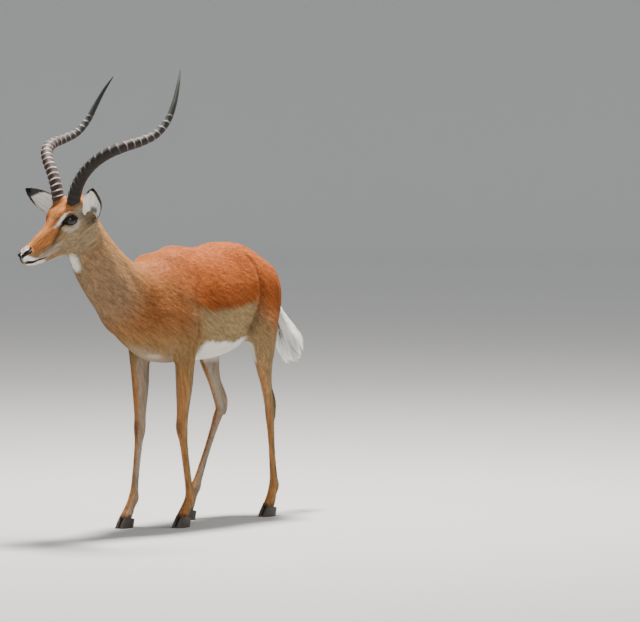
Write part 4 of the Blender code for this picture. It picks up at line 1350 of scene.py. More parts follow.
def new_group(name, inputs, outputs):
    """An empty node group with its sockets as (name, type)."""
    group = bpy.data.node_groups.new(name, "ShaderNodeTree")
    for word, kind in inputs:
        group.interface.new_socket(word, in_out="INPUT", socket_type="NodeSocket" + kind)
    for word, kind in outputs:
        group.interface.new_socket(word, in_out="OUTPUT", socket_type="NodeSocket" + kind)
    return group, group.nodes.new("NodeGroupInput"), group.nodes.new("NodeGroupOutput")


def math_node(tree, operation, a, b=0.0):
    node = tree.nodes.new("ShaderNodeMath")
    node.operation = operation
    for socket, value in zip(node.inputs, (a, b)):
        if isinstance(value, float):
            socket.default_value = value
        else:
            tree.links.new(value, socket)
    return node.outputs[0]


def mixed(tree, share, low, high, blend="MIX"):
    """A colour mix; low and high are colours or sockets."""
    node = tree.nodes.new("ShaderNodeMix")
    node.data_type = "RGBA"
    node.blend_type = blend
    for socket, value in ((node.inputs[0], share), (node.inputs[6], low), (node.inputs[7], high)):
        if isinstance(value, (float, tuple)):
            socket.default_value = value
        else:
            tree.links.new(value, socket)
    return node.outputs[2]


def noise(tree, scale, vector, detail=2.0):
    node = tree.nodes.new("ShaderNodeTexNoise")
    node.inputs["Scale"].default_value = scale
    node.inputs["Detail"].default_value = detail
    tree.links.new(vector, node.inputs["Vector"])
    return node.outputs[0]


def split(tree, colour):
    node = tree.nodes.new("ShaderNodeSeparateColor")
    tree.links.new(colour, node.inputs[0])
    return node.outputs

# %% Streaks along the hair


def streaks_group():
    """Noise drawn out along a direction: finer across it than along it."""
    group, given, made = new_group(
        "hair streaks", [("Place", "Vector"), ("Lie", "Vector")], [("Height", "Float")]
    )
    link = group.links.new
    run = group.nodes.new("ShaderNodeVectorMath")
    run.operation = "DOT_PRODUCT"
    link(given.outputs["Place"], run.inputs[0])
    link(given.outputs["Lie"], run.inputs[1])
    back = group.nodes.new("ShaderNodeVectorMath")
    back.operation = "SCALE"
    link(given.outputs["Lie"], back.inputs[0])
    link(math_node(group, "MULTIPLY", run.outputs["Value"], -0.90), back.inputs["Scale"])
    drawn = group.nodes.new("ShaderNodeVectorMath")
    link(given.outputs["Place"], drawn.inputs[0])
    link(back.outputs[0], drawn.inputs[1])
    total = 0.0
    for scale, weight in ((900.0, 0.20), (300.0, 0.35), (130.0, 0.45)):
        part = noise(group, scale, drawn.outputs[0], 1.0)
        total = math_node(group, "ADD", math_node(group, "MULTIPLY", part, weight), total)
    strong = math_node(group, "ADD", math_node(group, "MULTIPLY", total, 2.8), -0.90)
    link(strong, made.inputs["Height"])
    return group

# %% Colours laid over each other


def colours_group():
    """The coat's colour from its marking shares."""
    inputs = [("Marks A", "Color"), ("Marks B", "Color"), ("Marks C", "Color")]
    inputs += [("Place", "Vector"), ("Streaks", "Float")]
    group, given, made = new_group("coat colours", inputs, [("Colour", "Color"), ("Roughness", "Float")])
    mantle, white, black = split(group, given.outputs["Marks A"])
    grey, rust, fawn = split(group, given.outputs["Marks B"])
    shade, height, bare = split(group, given.outputs["Marks C"])
    colour = mixed(group, fawn, TAN, FAWN)
    colour = mixed(group, mantle, colour, MANTLE)
    colour = mixed(group, rust, colour, RUST)
    colour = mixed(group, grey, colour, GREY)
    drift = noise(group, 9.0, given.outputs["Place"], 3.0)
    tone = math_node(group, "ADD", 0.62, math_node(group, "MULTIPLY", drift, 0.44))
    tone = math_node(group, "ADD", tone, math_node(group, "MULTIPLY", shade, 0.42))
    tone = math_node(group, "ADD", tone, math_node(group, "MULTIPLY", height, 0.10))
    bright = math_node(group, "MULTIPLY", given.outputs["Streaks"], 0.90)
    tone = math_node(group, "MULTIPLY", tone, math_node(group, "ADD", 0.55, bright))
    scaled = group.nodes.new("ShaderNodeVectorMath")
    scaled.operation = "SCALE"
    group.links.new(colour, scaled.inputs[0])
    group.links.new(tone, scaled.inputs["Scale"])
    pale = mixed(group, white, scaled.outputs[0], WHITE)
    dark = mixed(group, black, pale, BLACK)
    group.links.new(dark, made.inputs["Colour"])
    wet = math_node(group, "MULTIPLY", bare, -0.22)
    group.links.new(math_node(group, "ADD", 0.66, wet), made.inputs["Roughness"])
    return group


STREAKS, COLOURS = streaks_group(), colours_group()
print("groups", STREAKS.name, "and", COLOURS.name)

# %% Materials of skin and hair
LIES = {  # the lie of the hair for each of the three shares in "flow"
    "body": (-0.86, 0.0, -0.51),
    "down": (-0.12, 0.0, -0.99),
    "face": tuple(-HEAD_SPIN[:, 0]),
}


def attribute(tree, name):
    node = tree.nodes.new("ShaderNodeAttribute")
    node.attribute_name = name
    return node.outputs["Color"]


def use(tree, group, **links):
    node = tree.nodes.new("ShaderNodeGroup")
    node.node_tree = group
    for word, value in links.items():
        socket = node.inputs[word.replace("_", " ")]
        if isinstance(value, tuple):
            socket.default_value = value
        else:
            tree.links.new(value, socket)
    return node.outputs


def new_material(name, **settings):
    """A material with its Principled shader's plain settings; words use _ for a space."""
    made = bpy.data.materials.new(name)
    made.use_nodes = True
    shader = made.node_tree.nodes["Principled BSDF"]
    for word, value in settings.items():
        shader.inputs[word.replace("_", " ")].default_value = value
    return made, made.node_tree, shader


def bump(tree, shader, height, distance, strength=1.0):
    node = tree.nodes.new("ShaderNodeBump")
    node.inputs["Distance"].default_value = distance
    node.inputs["Strength"].default_value = strength
    tree.links.new(height, node.inputs["Height"])
    tree.links.new(node.outputs[0], shader.inputs["Normal"])


def coat_material(name, deep):
    made, tree, shader = new_material(name, Specular_IOR_Level=0.06)
    place = tree.nodes.new("ShaderNodeNewGeometry").outputs["Position"]
    flow = split(tree, attribute(tree, "flow"))
    height = 0.0
    for share, lie in zip(flow, LIES.values()):
        streak = use(tree, STREAKS, Place=place, Lie=lie)["Height"]
        height = math_node(tree, "ADD", math_node(tree, "MULTIPLY", streak, share), height)
    finish = use(
        tree, COLOURS, Place=place, Streaks=height, Marks_A=attribute(tree, "marks_a"),
        Marks_B=attribute(tree, "marks_b"), Marks_C=attribute(tree, "marks_c"),
    )
    tree.links.new(finish["Colour"], shader.inputs["Base Color"])
    tree.links.new(finish["Roughness"], shader.inputs["Roughness"])
    bump(tree, shader, height, deep, 0.8)
    return made


COAT_SKIN = coat_material("coat_skin", 0.0012)
COAT_HAIR = coat_material("coat_hair", 0.0004)


def write_flow(mesh, points):
    """Shares of the three directions of the streaks."""
    face = head_share(points)
    down = (1 - face) * np.maximum(leg_share(points), rise(0.24, 0.32, -points[:, 0]))
    write_colour(mesh, "flow", 1 - face - down, down, face)


write_flow(skin.data, places(skin.data))
skin.data.materials.clear()
skin.data.materials.append(COAT_SKIN)
skin.data.polygons.foreach_set("material_index", np.zeros(len(skin.data.polygons), np.int32))
skin.data.shade_smooth()
print("materials", COAT_SKIN.name, COAT_HAIR.name)

# %% [markdown]
# ## Combing the hair
# The hair of an impala is short and lies flat, from the nose back over the body and down the
# legs. Each tuft here is a narrow pointed leaf of three triangles that leaves the skin at a low
# angle along the lie. Roots are thrown evenly over the skin's own triangles, none on lips, lids
# or nostrils, and a tuft takes the markings of its root. The tufts follow normals that are
# levelled a little, so that none stands up where the skin creases. Each keeps a small patch of
# the skin's own unwrap, so that a painted coat and the skin would match.

# %% Unwrap the skin
skin.name = "skin"
for other in bpy.context.selected_objects:
    other.select_set(False)
skin.select_set(True)
bpy.context.view_layer.objects.active = skin
triangulate = bmesh.new()
triangulate.from_mesh(skin.data)
bmesh.ops.triangulate(triangulate, faces=triangulate.faces)
triangulate.to_mesh(skin.data)
triangulate.free()
skin.data.uv_layers.new(name="OFBake")
bpy.ops.object.mode_set(mode="EDIT")
bpy.ops.mesh.select_all(action="SELECT")
bpy.ops.uv.smart_project(angle_limit=math.radians(66), island_margin=0.002)
bpy.ops.object.mode_set(mode="OBJECT")
print("skin unwrapped:", len(skin.data.polygons), "triangles")

# %% Roots, and the regions of the hair
points, normals = places(skin.data), normals_of(skin.data)
normals = unit(levelled(skin.data, normals, (ear_place(points)[2] == 0) * 1.0, 3, 0.6))
corners = np.empty(len(skin.data.loops), int)
skin.data.loops.foreach_get("vertex_index", corners)
corners = corners.reshape(-1, 3)
unwrap = np.empty(len(skin.data.loops) * 2)
skin.data.uv_layers["OFBake"].data.foreach_get("uv", unwrap)
unwrap = unwrap.reshape(-1, 3, 2)
edge_a = points[corners[:, 1]] - points[corners[:, 0]]
edge_b = points[corners[:, 2]] - points[corners[:, 0]]
areas = np.linalg.norm(np.cross(edge_a, edge_b), axis=1) / 2
middles = points[corners].mean(1)
face_head, face_ear = head_share(middles), ear_place(middles)[2] != 0
SOLE_TOP, LEG_TOP, FLANK_TOP, CHEST_LOW = 0.034, 0.52, 0.76, 0.55  # heights between regions
skin_bare = skin_marks[6]
open_faces = (skin_bare[corners].max(1) < 0.35) & (middles[:, 2] > SOLE_TOP)
toward_neck = middles[:, 0] + 0.45 * (middles[:, 2] - 0.8) > 0.30
regions = {
    "face": (face_head > 0.5) & ~face_ear,
    "ears": face_ear,
    "neck": (face_head <= 0.5) & ~face_ear & toward_neck & (middles[:, 2] > CHEST_LOW),
}
regions["legs"] = ~regions["face"] & ~regions["ears"] & ~regions["neck"] & (middles[:, 2] < LEG_TOP)
body = ~(regions["face"] | regions["ears"] | regions["neck"] | regions["legs"])
regions["flanks"] = body & (middles[:, 2] < FLANK_TOP)
regions["back"] = body & (middles[:, 2] >= FLANK_TOP)
RIB_LIE, RUMP_LIE, NECK_LIE = (-0.86, 0.0, -0.46), (-0.45, 0.0, -0.90), (-0.62, 0.0, -0.78)
LEG_LIE = (-0.06, 0.0, -1.0)
print({name: int(faces.sum()) for name, faces in regions.items()}, "triangles of skin")

# %% The lie of the hair


def lie_of(p, n):
    """Which way the hair lies at each place, along the skin."""
    head, leg = head_share(p), leg_share(p)
    rump = rise(0.20, 0.34, -p[:, 0])
    neck = rise(0.26, 0.40, p[:, 0] + 0.45 * (p[:, 2] - 0.8)) * (1 - head)
    face = -HEAD_SPIN[:, 0] - 0.25 * HEAD_SPIN[:, 2]
    way = np.array(RIB_LIE)
    for share, lie in ((rump, RUMP_LIE), (neck, NECK_LIE), (leg, LEG_LIE), (head, face)):
        way = way * (1 - share)[:, None] + np.array(lie) * share[:, None]
    which = ear_place(p)[2]
    for side, _ in SIDES:
        way[which == side] = ear_frame(side)[1]
    return unit(way - n * (way * n).sum(1, keepdims=True))

# %% Tufts of a region
SINK = 0.0006  # how deep a tuft is rooted


def tufts(name, faces, count, length, width, lift, spread=0.22):
    """One mesh of leaves over chosen triangles of the skin."""
    count = count
    wide = width * 1.0
    chosen = np.where(faces & open_faces)[0]
    filled = np.cumsum(areas[chosen]) / areas[chosen].sum()
    thrown = (np.arange(count) + dice.random(count)) / count
    picked = chosen[np.minimum(np.searchsorted(filled, thrown), len(chosen) - 1)]
    r = np.sqrt(dice.random(count))
    t = dice.random(count)
    share = np.stack([1 - r, r * t, r * (1 - t)], 1)
    corner = corners[picked]
    root = (points[corner] * share[:, :, None]).sum(1)
    normal = unit((normals[corner] * share[:, :, None]).sum(1))
    patch = (unwrap[picked] * share[:, :, None]).sum(1)
    rows = (skin_marks[:, corner] * share[None]).sum(2)
    way = lie_of(root, normal)
    across = np.cross(normal, way)
    way = unit(way + across * dice.normal(0, spread, count)[:, None])
    across = unit(np.cross(normal, way))
    size = dice.uniform(0.72, 1.22, count) * (1 - 0.5 * rise(0.0, 0.35, rows[6]))
    eye_gap = np.linalg.norm(folded(root) - np.array(EYE_AT), axis=1)
    size *= 0.45 + 0.55 * rise(0.022, 0.040, eye_gap)
    long, half = (length * size)[:, None], (wide * size)[:, None] / 2
    rise_to = (lift * dice.uniform(0.7, 1.15, count))[:, None]
    leaf = np.stack(
        [
            root - normal * SINK - across * half * 0.7,
            root - normal * SINK + across * half * 0.7,
            root + way * long * 0.45 + normal * rise_to * 0.85 - across * half,
            root + way * long * 0.45 + normal * rise_to * 0.85 + across * half,
            root + way * long + normal * rise_to * 0.80,
        ],
        1,
    )
    mesh = bpy.data.meshes.new(name)
    pattern = np.array([[0, 1, 3], [0, 3, 2], [2, 3, 4]])
    faces_all = (np.arange(count)[:, None, None] * 5 + pattern).reshape(-1, 3)
    mesh.vertices.add(count * 5)
    mesh.vertices.foreach_set("co", leaf.ravel())
    mesh.loops.add(faces_all.size)
    mesh.loops.foreach_set("vertex_index", faces_all.ravel())
    mesh.polygons.add(len(faces_all))
    mesh.polygons.foreach_set("loop_start", np.arange(0, faces_all.size, 3))
    mesh.polygons.foreach_set("loop_total", np.full(len(faces_all), 3))
    mesh.update(calc_edges=True)
    mesh.shade_smooth()
    small = np.array([[-1, -1], [1, -1], [-1, 0], [1, 0], [0, 1]]) * 0.0015
    uv = (patch[:, None] + small[None]).reshape(-1, 2)[faces_all.ravel()]
    mesh.uv_layers.new(name="OFBake").data.foreach_set("uv", np.clip(uv, 0, 1).ravel())
    shade = np.repeat(dice.random(count), 5)
    height = np.tile([0.0, 0.0, 0.6, 0.6, 1.0], count)
    write_marks(mesh, np.repeat(rows, 5, axis=1), shade, height)
    write_flow(mesh, leaf.reshape(-1, 3))
    mesh.materials.append(COAT_HAIR)
    print(name, count, "tufts,", len(faces_all), "triangles over", round(areas[chosen].sum(), 3), "m2")
    return blank_object(name, mesh)


coat_pieces = [  # region, number of tufts, then length, width and lift of each
    tufts("coat_face", regions["face"], 44000, 0.0052, 0.0011, 0.0009),
    tufts("coat_ears", regions["ears"], 14000, 0.0056, 0.0009, 0.0006),
    tufts("coat_neck", regions["neck"], 46000, 0.0110, 0.0017, 0.0030),
    tufts("coat_legs", regions["legs"], 60000, 0.0080, 0.0015, 0.0016),
    tufts("coat_flanks", regions["flanks"], 64000, 0.0120, 0.0019, 0.0034),
    tufts("coat_back", regions["back"], 60000, 0.0125, 0.0019, 0.0034),
]

# %% [markdown]
# ## Eyes
# The eye of an antelope is large, nearly black and wet, with a long level pupil. Each eyeball
# is a ball with a slightly raised cornea, lying in the lids that were made for it. The clear
# coat of the shader is the film of tears.

# %% Eyeballs


def lathe_grid(name, rings, closed_ends=True):
    """A mesh from equal rings of points, closed at both ends by fans."""
    rings = np.array(rings)
    rows, around = rings.shape[:2]
    vertices = rings.reshape(-1, 3)
    i, j = np.meshgrid(np.arange(rows - 1), np.arange(around), indexing="ij")
    k = (j + 1) % around
    quads = np.stack([i * around + j, i * around + k, (i + 1) * around + k, (i + 1) * around + j], 2)
    faces = quads.reshape(-1, 4).tolist()
    if closed_ends:
        faces += [list(range(around))[::-1], [(rows - 1) * around + n for n in range(around)]]
    mesh = bpy.data.meshes.new(name)
    mesh.from_pydata(vertices.tolist(), [], faces)
    mesh.shade_smooth()
    return blank_object(name, mesh)


def eyeball(side, word):
    steps, around = 44, 64
    out, long, tall = (v * (1, side, 1) for v in (EYE_OUT, EYE_LONG, EYE_TALL))
    centre = np.array(mirrored(EYE_AT, side))
    rings, iris, pupil = [], [], []
    for tilt in np.linspace(0.02, math.pi - 0.02, steps):
        radius = EYE_RADIUS + 0.0007 * float(1 - rise(0.5, 0.95, tilt))
        ring = []
        for turn in np.linspace(0, 2 * math.pi, around, endpoint=False):
            a, b = math.sin(tilt) * math.cos(turn), math.sin(tilt) * math.sin(turn)
            spot_at = centre + radius * (a * long + b * tall + math.cos(tilt) * out)
            ring.append(np.array(HEAD_AT) + HEAD_SPIN @ spot_at)
            iris.append(1 - rise(0.92, 1.02, tilt))
            pupil.append(1 - rise(0.85, 1.1, math.hypot(a / 0.44, b / 0.22)))
        rings.append(ring)
    made = lathe_grid("eye_" + word + "_ball", rings)
    iris, pupil = np.array(iris), np.array(pupil)
    write_colour(made.data, "eye_marks", iris, pupil, 0 * iris)
    made.data.materials.append(EYE)
    return made


def eye_material():
    made, tree, shader = new_material(
        "eye_wet", Roughness=0.30, Specular_IOR_Level=0.05,
        Coat_Weight=1.0, Coat_Roughness=0.02, Coat_IOR=1.36,
    )
    iris, pupil, _ = split(tree, attribute(tree, "eye_marks"))
    white = mixed(tree, iris, (0.014, 0.010, 0.009, 1), (0.009, 0.006, 0.005, 1))
    tree.links.new(mixed(tree, pupil, white, (0.003, 0.003, 0.004, 1)), shader.inputs["Base Color"])
    return made


EYE = eye_material()
eyeballs = {side: eyeball(side, word) for side, word in SIDES}
print("eyeballs of", len(eyeballs[LEFT].data.polygons), "faces")

# %% [markdown]
# ## Horns
# A horn is a sheath of keratin grown in yearly bands over a core of bone. Each band ends in a
# raised ring, stronger in front than behind, and the last part is smooth and sharp. The horn is
# a loft along its curve; the rings are swellings of that loft. Their crests are painted pale,
# partly as wear and partly as painted highlight: wide bands on the right horn, painted as the lit
# one, and on the lower left horn mostly thin notches on the lit upper front edge. The right horn
# is painted paler near its base and the left darker there, as a lit and a shaded horn. The pale
# follows the rings, so how raised a place is gives its colour as well.

# %% Lofted horns
HORN_SEAT = (0.0525, 0.037, 0.0308)
RINGED_SHARE = 0.76
HORN_RINGS = 22
HORN_SIZE = {LEFT: 1.115, RIGHT: 1.0}
HORN_LINE = (
    (0.008, -0.003, -0.009), (0.000, 0.000, 0.000), (-0.001, 0.016, 0.044), (0.002, 0.043, 0.083),
    (0.010, 0.078, 0.116), (0.030, 0.111, 0.143), (0.066, 0.133, 0.162), (0.116, 0.142, 0.176),
    (0.165, 0.144, 0.195), (0.204, 0.144, 0.231), (0.230, 0.138, 0.280), (0.251, 0.125, 0.328),
    (0.271, 0.107, 0.371),
)
HORN_RADII = (
    (0.00, 0.0195), (0.09, 0.0178), (0.22, 0.0166), (0.40, 0.0162), (0.52, 0.0143), (0.64, 0.0118),
    (0.74, 0.0094), (0.84, 0.0068), (0.93, 0.0043), (1.00, 0.0011),
)


def horn_line(side, steps):
    """Points along the horn at shares of its length."""
    size = HORN_SIZE[side]
    rows = [(-back * size, side * out * size, up * size) for back, out, up in HORN_LINE]
    line = on_head(mirrored(HORN_SEAT, side)) + eased(rows, 24) @ UPRIGHT.T
    run = np.concatenate([[0], np.cumsum(np.linalg.norm(np.diff(line, axis=0), axis=1))])
    return np.stack([np.interp(steps * run[-1], run, line[:, axis]) for axis in range(3)], 1)

# %% Rings of a horn


def horn(side, word):
    rows, around = ((330, 48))
    share = np.linspace(0, 1, rows)
    line = horn_line(side, share)
    along = unit(np.gradient(line, axis=0))
    width = HORN_SIZE[side] * np.interp(share, *zip(*HORN_RADII))
    phase = HORN_RINGS * np.clip(share / RINGED_SHARE, 0, 1) ** (1 / 1.12)
    fade = (1 - rise(RINGED_SHARE - 0.03, RINGED_SHARE + 0.01, share)) * rise(0.0, 0.03, share)
    start = unit(np.cross(along[0], (0.0, 1.0, 0.0)))
    turns = np.linspace(0, 2 * math.pi, around, endpoint=False)
    rings, crest_wear_and_highlight, run = [], [], []
    for i, (centre, ahead, radius) in enumerate(zip(line, along, width)):
        start = unit(start - ahead * (start @ ahead))
        other = np.cross(ahead, start)
        spokes = np.cos(turns)[:, None] * start + np.sin(turns)[:, None] * other
        forward = unit(UPRIGHT[:, 0] - ahead * (ahead @ UPRIGHT[:, 0]))
        front = 0.5 + 0.5 * spokes @ forward
        step = (phase[i] + 0.22 * front + 0.03 * np.sin(3 * turns + phase[i])) % 1.0
        tooth = np.where(step < 0.82, (step / 0.82) ** 2.0, 1 - (step - 0.82) / 0.18)
        low = 1 - rise(0.30, 0.50, share[i]) if side == LEFT else 0.0
        ridge = tooth * fade[i] * (0.22 - 0.14 * low + (0.78 + 0.14 * low) * front ** (1.4 + 1.6 * low))
        # Pale crest bands: partly wear, partly painted highlight; wider on the right horn, painted as the
        # lit one
        start_at = 0.68 if side == RIGHT else 0.76
        lit_and_worn_band = rise(start_at, start_at + 0.10, step) * (1 - rise(0.86, 0.97, step)) * fade[i]
        uneven = 0.65 + 0.35 * np.sin(2 * turns + 7 * phase[i])
        # On the lower left horn the pale keeps to the upper front edge, as painted highlight where light
        # falls
        lit_and_worn_band = lit_and_worn_band * (1 - low * (1 - 0.8 * rise(0.90, 1.0, front))) * uneven
        grooves = 0.006 * np.cos(9 * turns + 3 * share[i]) + 0.004 * np.cos(17 * turns)
        swell = 1 - 0.060 * fade[i] + 0.20 * ridge + grooves * fade[i]
        reach = np.hypot(np.cos(turns) * 1.08, np.sin(turns))
        rings.append(centre + spokes * (radius * swell * reach)[:, None])
        crest_wear_and_highlight.append(lit_and_worn_band)
        run.append(np.full(around, share[i]))
    made = lathe_grid("horn_" + word + "_sheath", rings)
    crest_wear_and_highlight = np.concatenate(crest_wear_and_highlight)
    along_share = np.concatenate(run)
    # Right horn paler near its base, left horn darker near its base: wear, and the painted light and shade
    # of a lit and a shaded horn
    if side == RIGHT:
        wear_and_light = 1 - 0.65 * rise(0.30, 0.50, along_share)
    else:
        wear_and_light = 0.10 + 0.6 * rise(0.36, 0.5, along_share)
    write_colour(made.data, "horn_marks", crest_wear_and_highlight, rise(0.40, 0.80, along_share), wear_and_light)
    made.data.materials.append(HORN)
    print("horn", word, "is", round(float(np.linalg.norm(np.diff(line, axis=0), axis=1).sum()), 3), "m long")
    return made

# %% Colour of the horns


def horn_material():
    made, tree, shader = new_material("horn_keratin", Specular_IOR_Level=0.22)
    place = tree.nodes.new("ShaderNodeNewGeometry").outputs["Position"]
    crest_wear_and_highlight, run, wear_and_light = split(tree, attribute(tree, "horn_marks"))
    patchy = noise(tree, 60.0, place, 4.0)
    # Crests pale and the body browner where wear and painted light are high; near black elsewhere as painted
    # shade
    rubbed_and_lit = math_node(tree, "ADD", 0.30, math_node(tree, "MULTIPLY", patchy, 1.1))
    rubbed_and_lit = math_node(tree, "MULTIPLY", crest_wear_and_highlight, rubbed_and_lit)
    wear_and_light_share = math_node(tree, "ADD", 0.10, math_node(tree, "MULTIPLY", wear_and_light, 0.90))
    rubbed_and_lit = math_node(tree, "MULTIPLY", rubbed_and_lit, wear_and_light_share)
    body_wear_and_light = math_node(tree, "MULTIPLY", wear_and_light, 0.8)
    body_dark = mixed(tree, body_wear_and_light, (0.016, 0.013, 0.011, 1), (0.040, 0.023, 0.020, 1))
    smooth_tip = mixed(tree, run, body_dark, (0.022, 0.024, 0.021, 1))
    colour = mixed(tree, rubbed_and_lit, smooth_tip, (0.50, 0.40, 0.37, 1))
    tree.links.new(colour, shader.inputs["Base Color"])
    shine = math_node(tree, "ADD", 0.50, math_node(tree, "MULTIPLY", patchy, 0.30))
    tree.links.new(shine, shader.inputs["Roughness"])
    bump(tree, shader, noise(tree, 420.0, place, 3.0), 0.0006, 0.7)
    return made


HORN = horn_material()
horns = {side: horn(side, word) for side, word in SIDES}

# %% [markdown]
# ## Hooves
# A foot stands on two claws of horn. Each has a flat sole, a straight wall towards its
# neighbour, a rounded outer wall and a sloping toe, and grows in fine lines level with the
# hair. They are the solids' own claws with many more rings, and a rounded top and bottom edge.

# %% Claws
HOOF_LENGTH = 0.058
CLAW_WIDTH = 0.0225
HOOF_HEIGHT = 0.036
HEEL_SHARE = 0.72
TOE_SPLIT = 0.0008
CLAW_STEPS = (  # (share of the height, size, slide along the foot)
    (0.0, 0.965, 0.0), (0.04, 1.0, 0.0), (0.5, 0.90, -0.006), (0.9, 0.77, -0.0124), (1.0, 0.70, -0.014),
)


def claw(name, toe, side):
    rings = []
    heights = np.concatenate([[0.0, 0.02], np.linspace(0.05, 0.9, 9), [0.96, 1.0]])
    at, sizes, slides = zip(*CLAW_STEPS)
    for height in heights:
        size, slide = np.interp(height, at, sizes), np.interp(height, at, slides)
        ring = []
        for t in np.linspace(0, 2 * math.pi, 40, endpoint=False):
            along = 0.5 - 0.5 * math.cos(t)
            bulge = 1.98 * max(along, 1e-6) ** 0.42 * max(1 - along, 1e-6) ** 0.58
            soft = math.tanh(math.sin(t) * 3.2)
            wide = CLAW_WIDTH * (0.47 + (0.5 * bulge * max(soft, 0) - 0.42 * max(-soft, 0)) * size)
            x = toe[0] + (along - 0.42) * HOOF_LENGTH * size + slide
            tall = HOOF_HEIGHT * height * (HEEL_SHARE + (1 - HEEL_SHARE) * along)
            ring.append((x, toe[1] + side * (TOE_SPLIT + wide), tall))
        rings.append(ring)
    made = lathe_grid(name, rings)
    made.data.materials.append(HOOF)
    return made


def hoof_material():
    made, tree, shader = new_material("hoof_keratin", Roughness=0.42, Specular_IOR_Level=0.45)
    place = tree.nodes.new("ShaderNodeNewGeometry").outputs["Position"]
    stretched = tree.nodes.new("ShaderNodeVectorMath")
    stretched.operation = "MULTIPLY"
    stretched.inputs[1].default_value = (0.15, 0.15, 1.0)
    tree.links.new(place, stretched.inputs[0])
    lines = noise(tree, 520.0, stretched.outputs[0], 2.0)
    lined = mixed(tree, lines, (0.018, 0.015, 0.012, 1), (0.075, 0.058, 0.045, 1))
    tree.links.new(lined, shader.inputs["Base Color"])
    bump(tree, shader, lines, 0.0004, 0.7)
    return made


HOOF = hoof_material()
claws = {}
for leg, table, spread in LEG_TABLES:
    for side, word in SIDES:
        toe = (table[side][4][0], side * spread[4])
        claws[f"hoof_{leg}_{word}_outer"] = claw(f"claw_{leg}_{word}_outer", toe, side)
        claws[f"hoof_{leg}_{word}_inner"] = claw(f"claw_{leg}_{word}_inner", toe, -side)
print(len(claws), "claws")

# %% [markdown]
# ## The tail
# The tail is a thin dock, already part of the skin, dressed with long white hair that parts and
# fans towards the tip. Long hair stays a mesh: each lock is a tapering ribbon that leaves the
# dock and follows the tail's line out to the edge of the brush. A dark line runs along the top
# of the dock.

# %% Locks of the tail
TAIL_ROWS = (
    (-0.324, 0.0, 0.788, 0.018, 0.014, 0.016), (-0.356, 0.0, 0.762, 0.020, 0.015, 0.016),
    (-0.382, 0.0, 0.712, 0.021, 0.016, 0.018), (-0.411, 0.0, 0.650, 0.024, 0.024, 0.022),
    (-0.447, 0.0, 0.598, 0.028, 0.044, 0.036), (-0.484, 0.0, 0.554, 0.026, 0.056, 0.046),
    (-0.518, 0.0, 0.520, 0.018, 0.048, 0.040), (-0.541, 0.0, 0.498, 0.006, 0.024, 0.022),
)


def ribbons(name, lines, widths, faces_way, finish):
    """Tapering ribbons along lines of points, all with the same number of steps."""
    count, steps = lines.shape[:2]
    along = unit(np.gradient(lines, axis=1))
    across = unit(np.cross(along, faces_way[:, None, :]))
    half = widths[:, :, None] / 2
    pairs = np.stack([lines - across * half, lines + across * half], 2)
    vertices = np.concatenate([pairs[:, :-1].reshape(count, -1, 3), lines[:, -1:]], 1)
    quads = [[2 * i, 2 * i + 1, 2 * i + 3, 2 * i + 2] for i in range(steps - 2)]
    split_quads = [t for a, b, c, d in quads for t in ((a, b, c), (a, c, d))]
    pattern = np.array([*split_quads, (2 * steps - 4, 2 * steps - 3, 2 * steps - 2)])
    faces = (np.arange(count)[:, None, None] * vertices.shape[1] + pattern).reshape(-1, 3)
    mesh = bpy.data.meshes.new(name)
    mesh.from_pydata(vertices.reshape(-1, 3).tolist(), [], faces.tolist())
    mesh.shade_smooth()
    mesh.materials.append(finish)
    return blank_object(name, mesh), vertices.shape[1]

# %% Where the locks lie


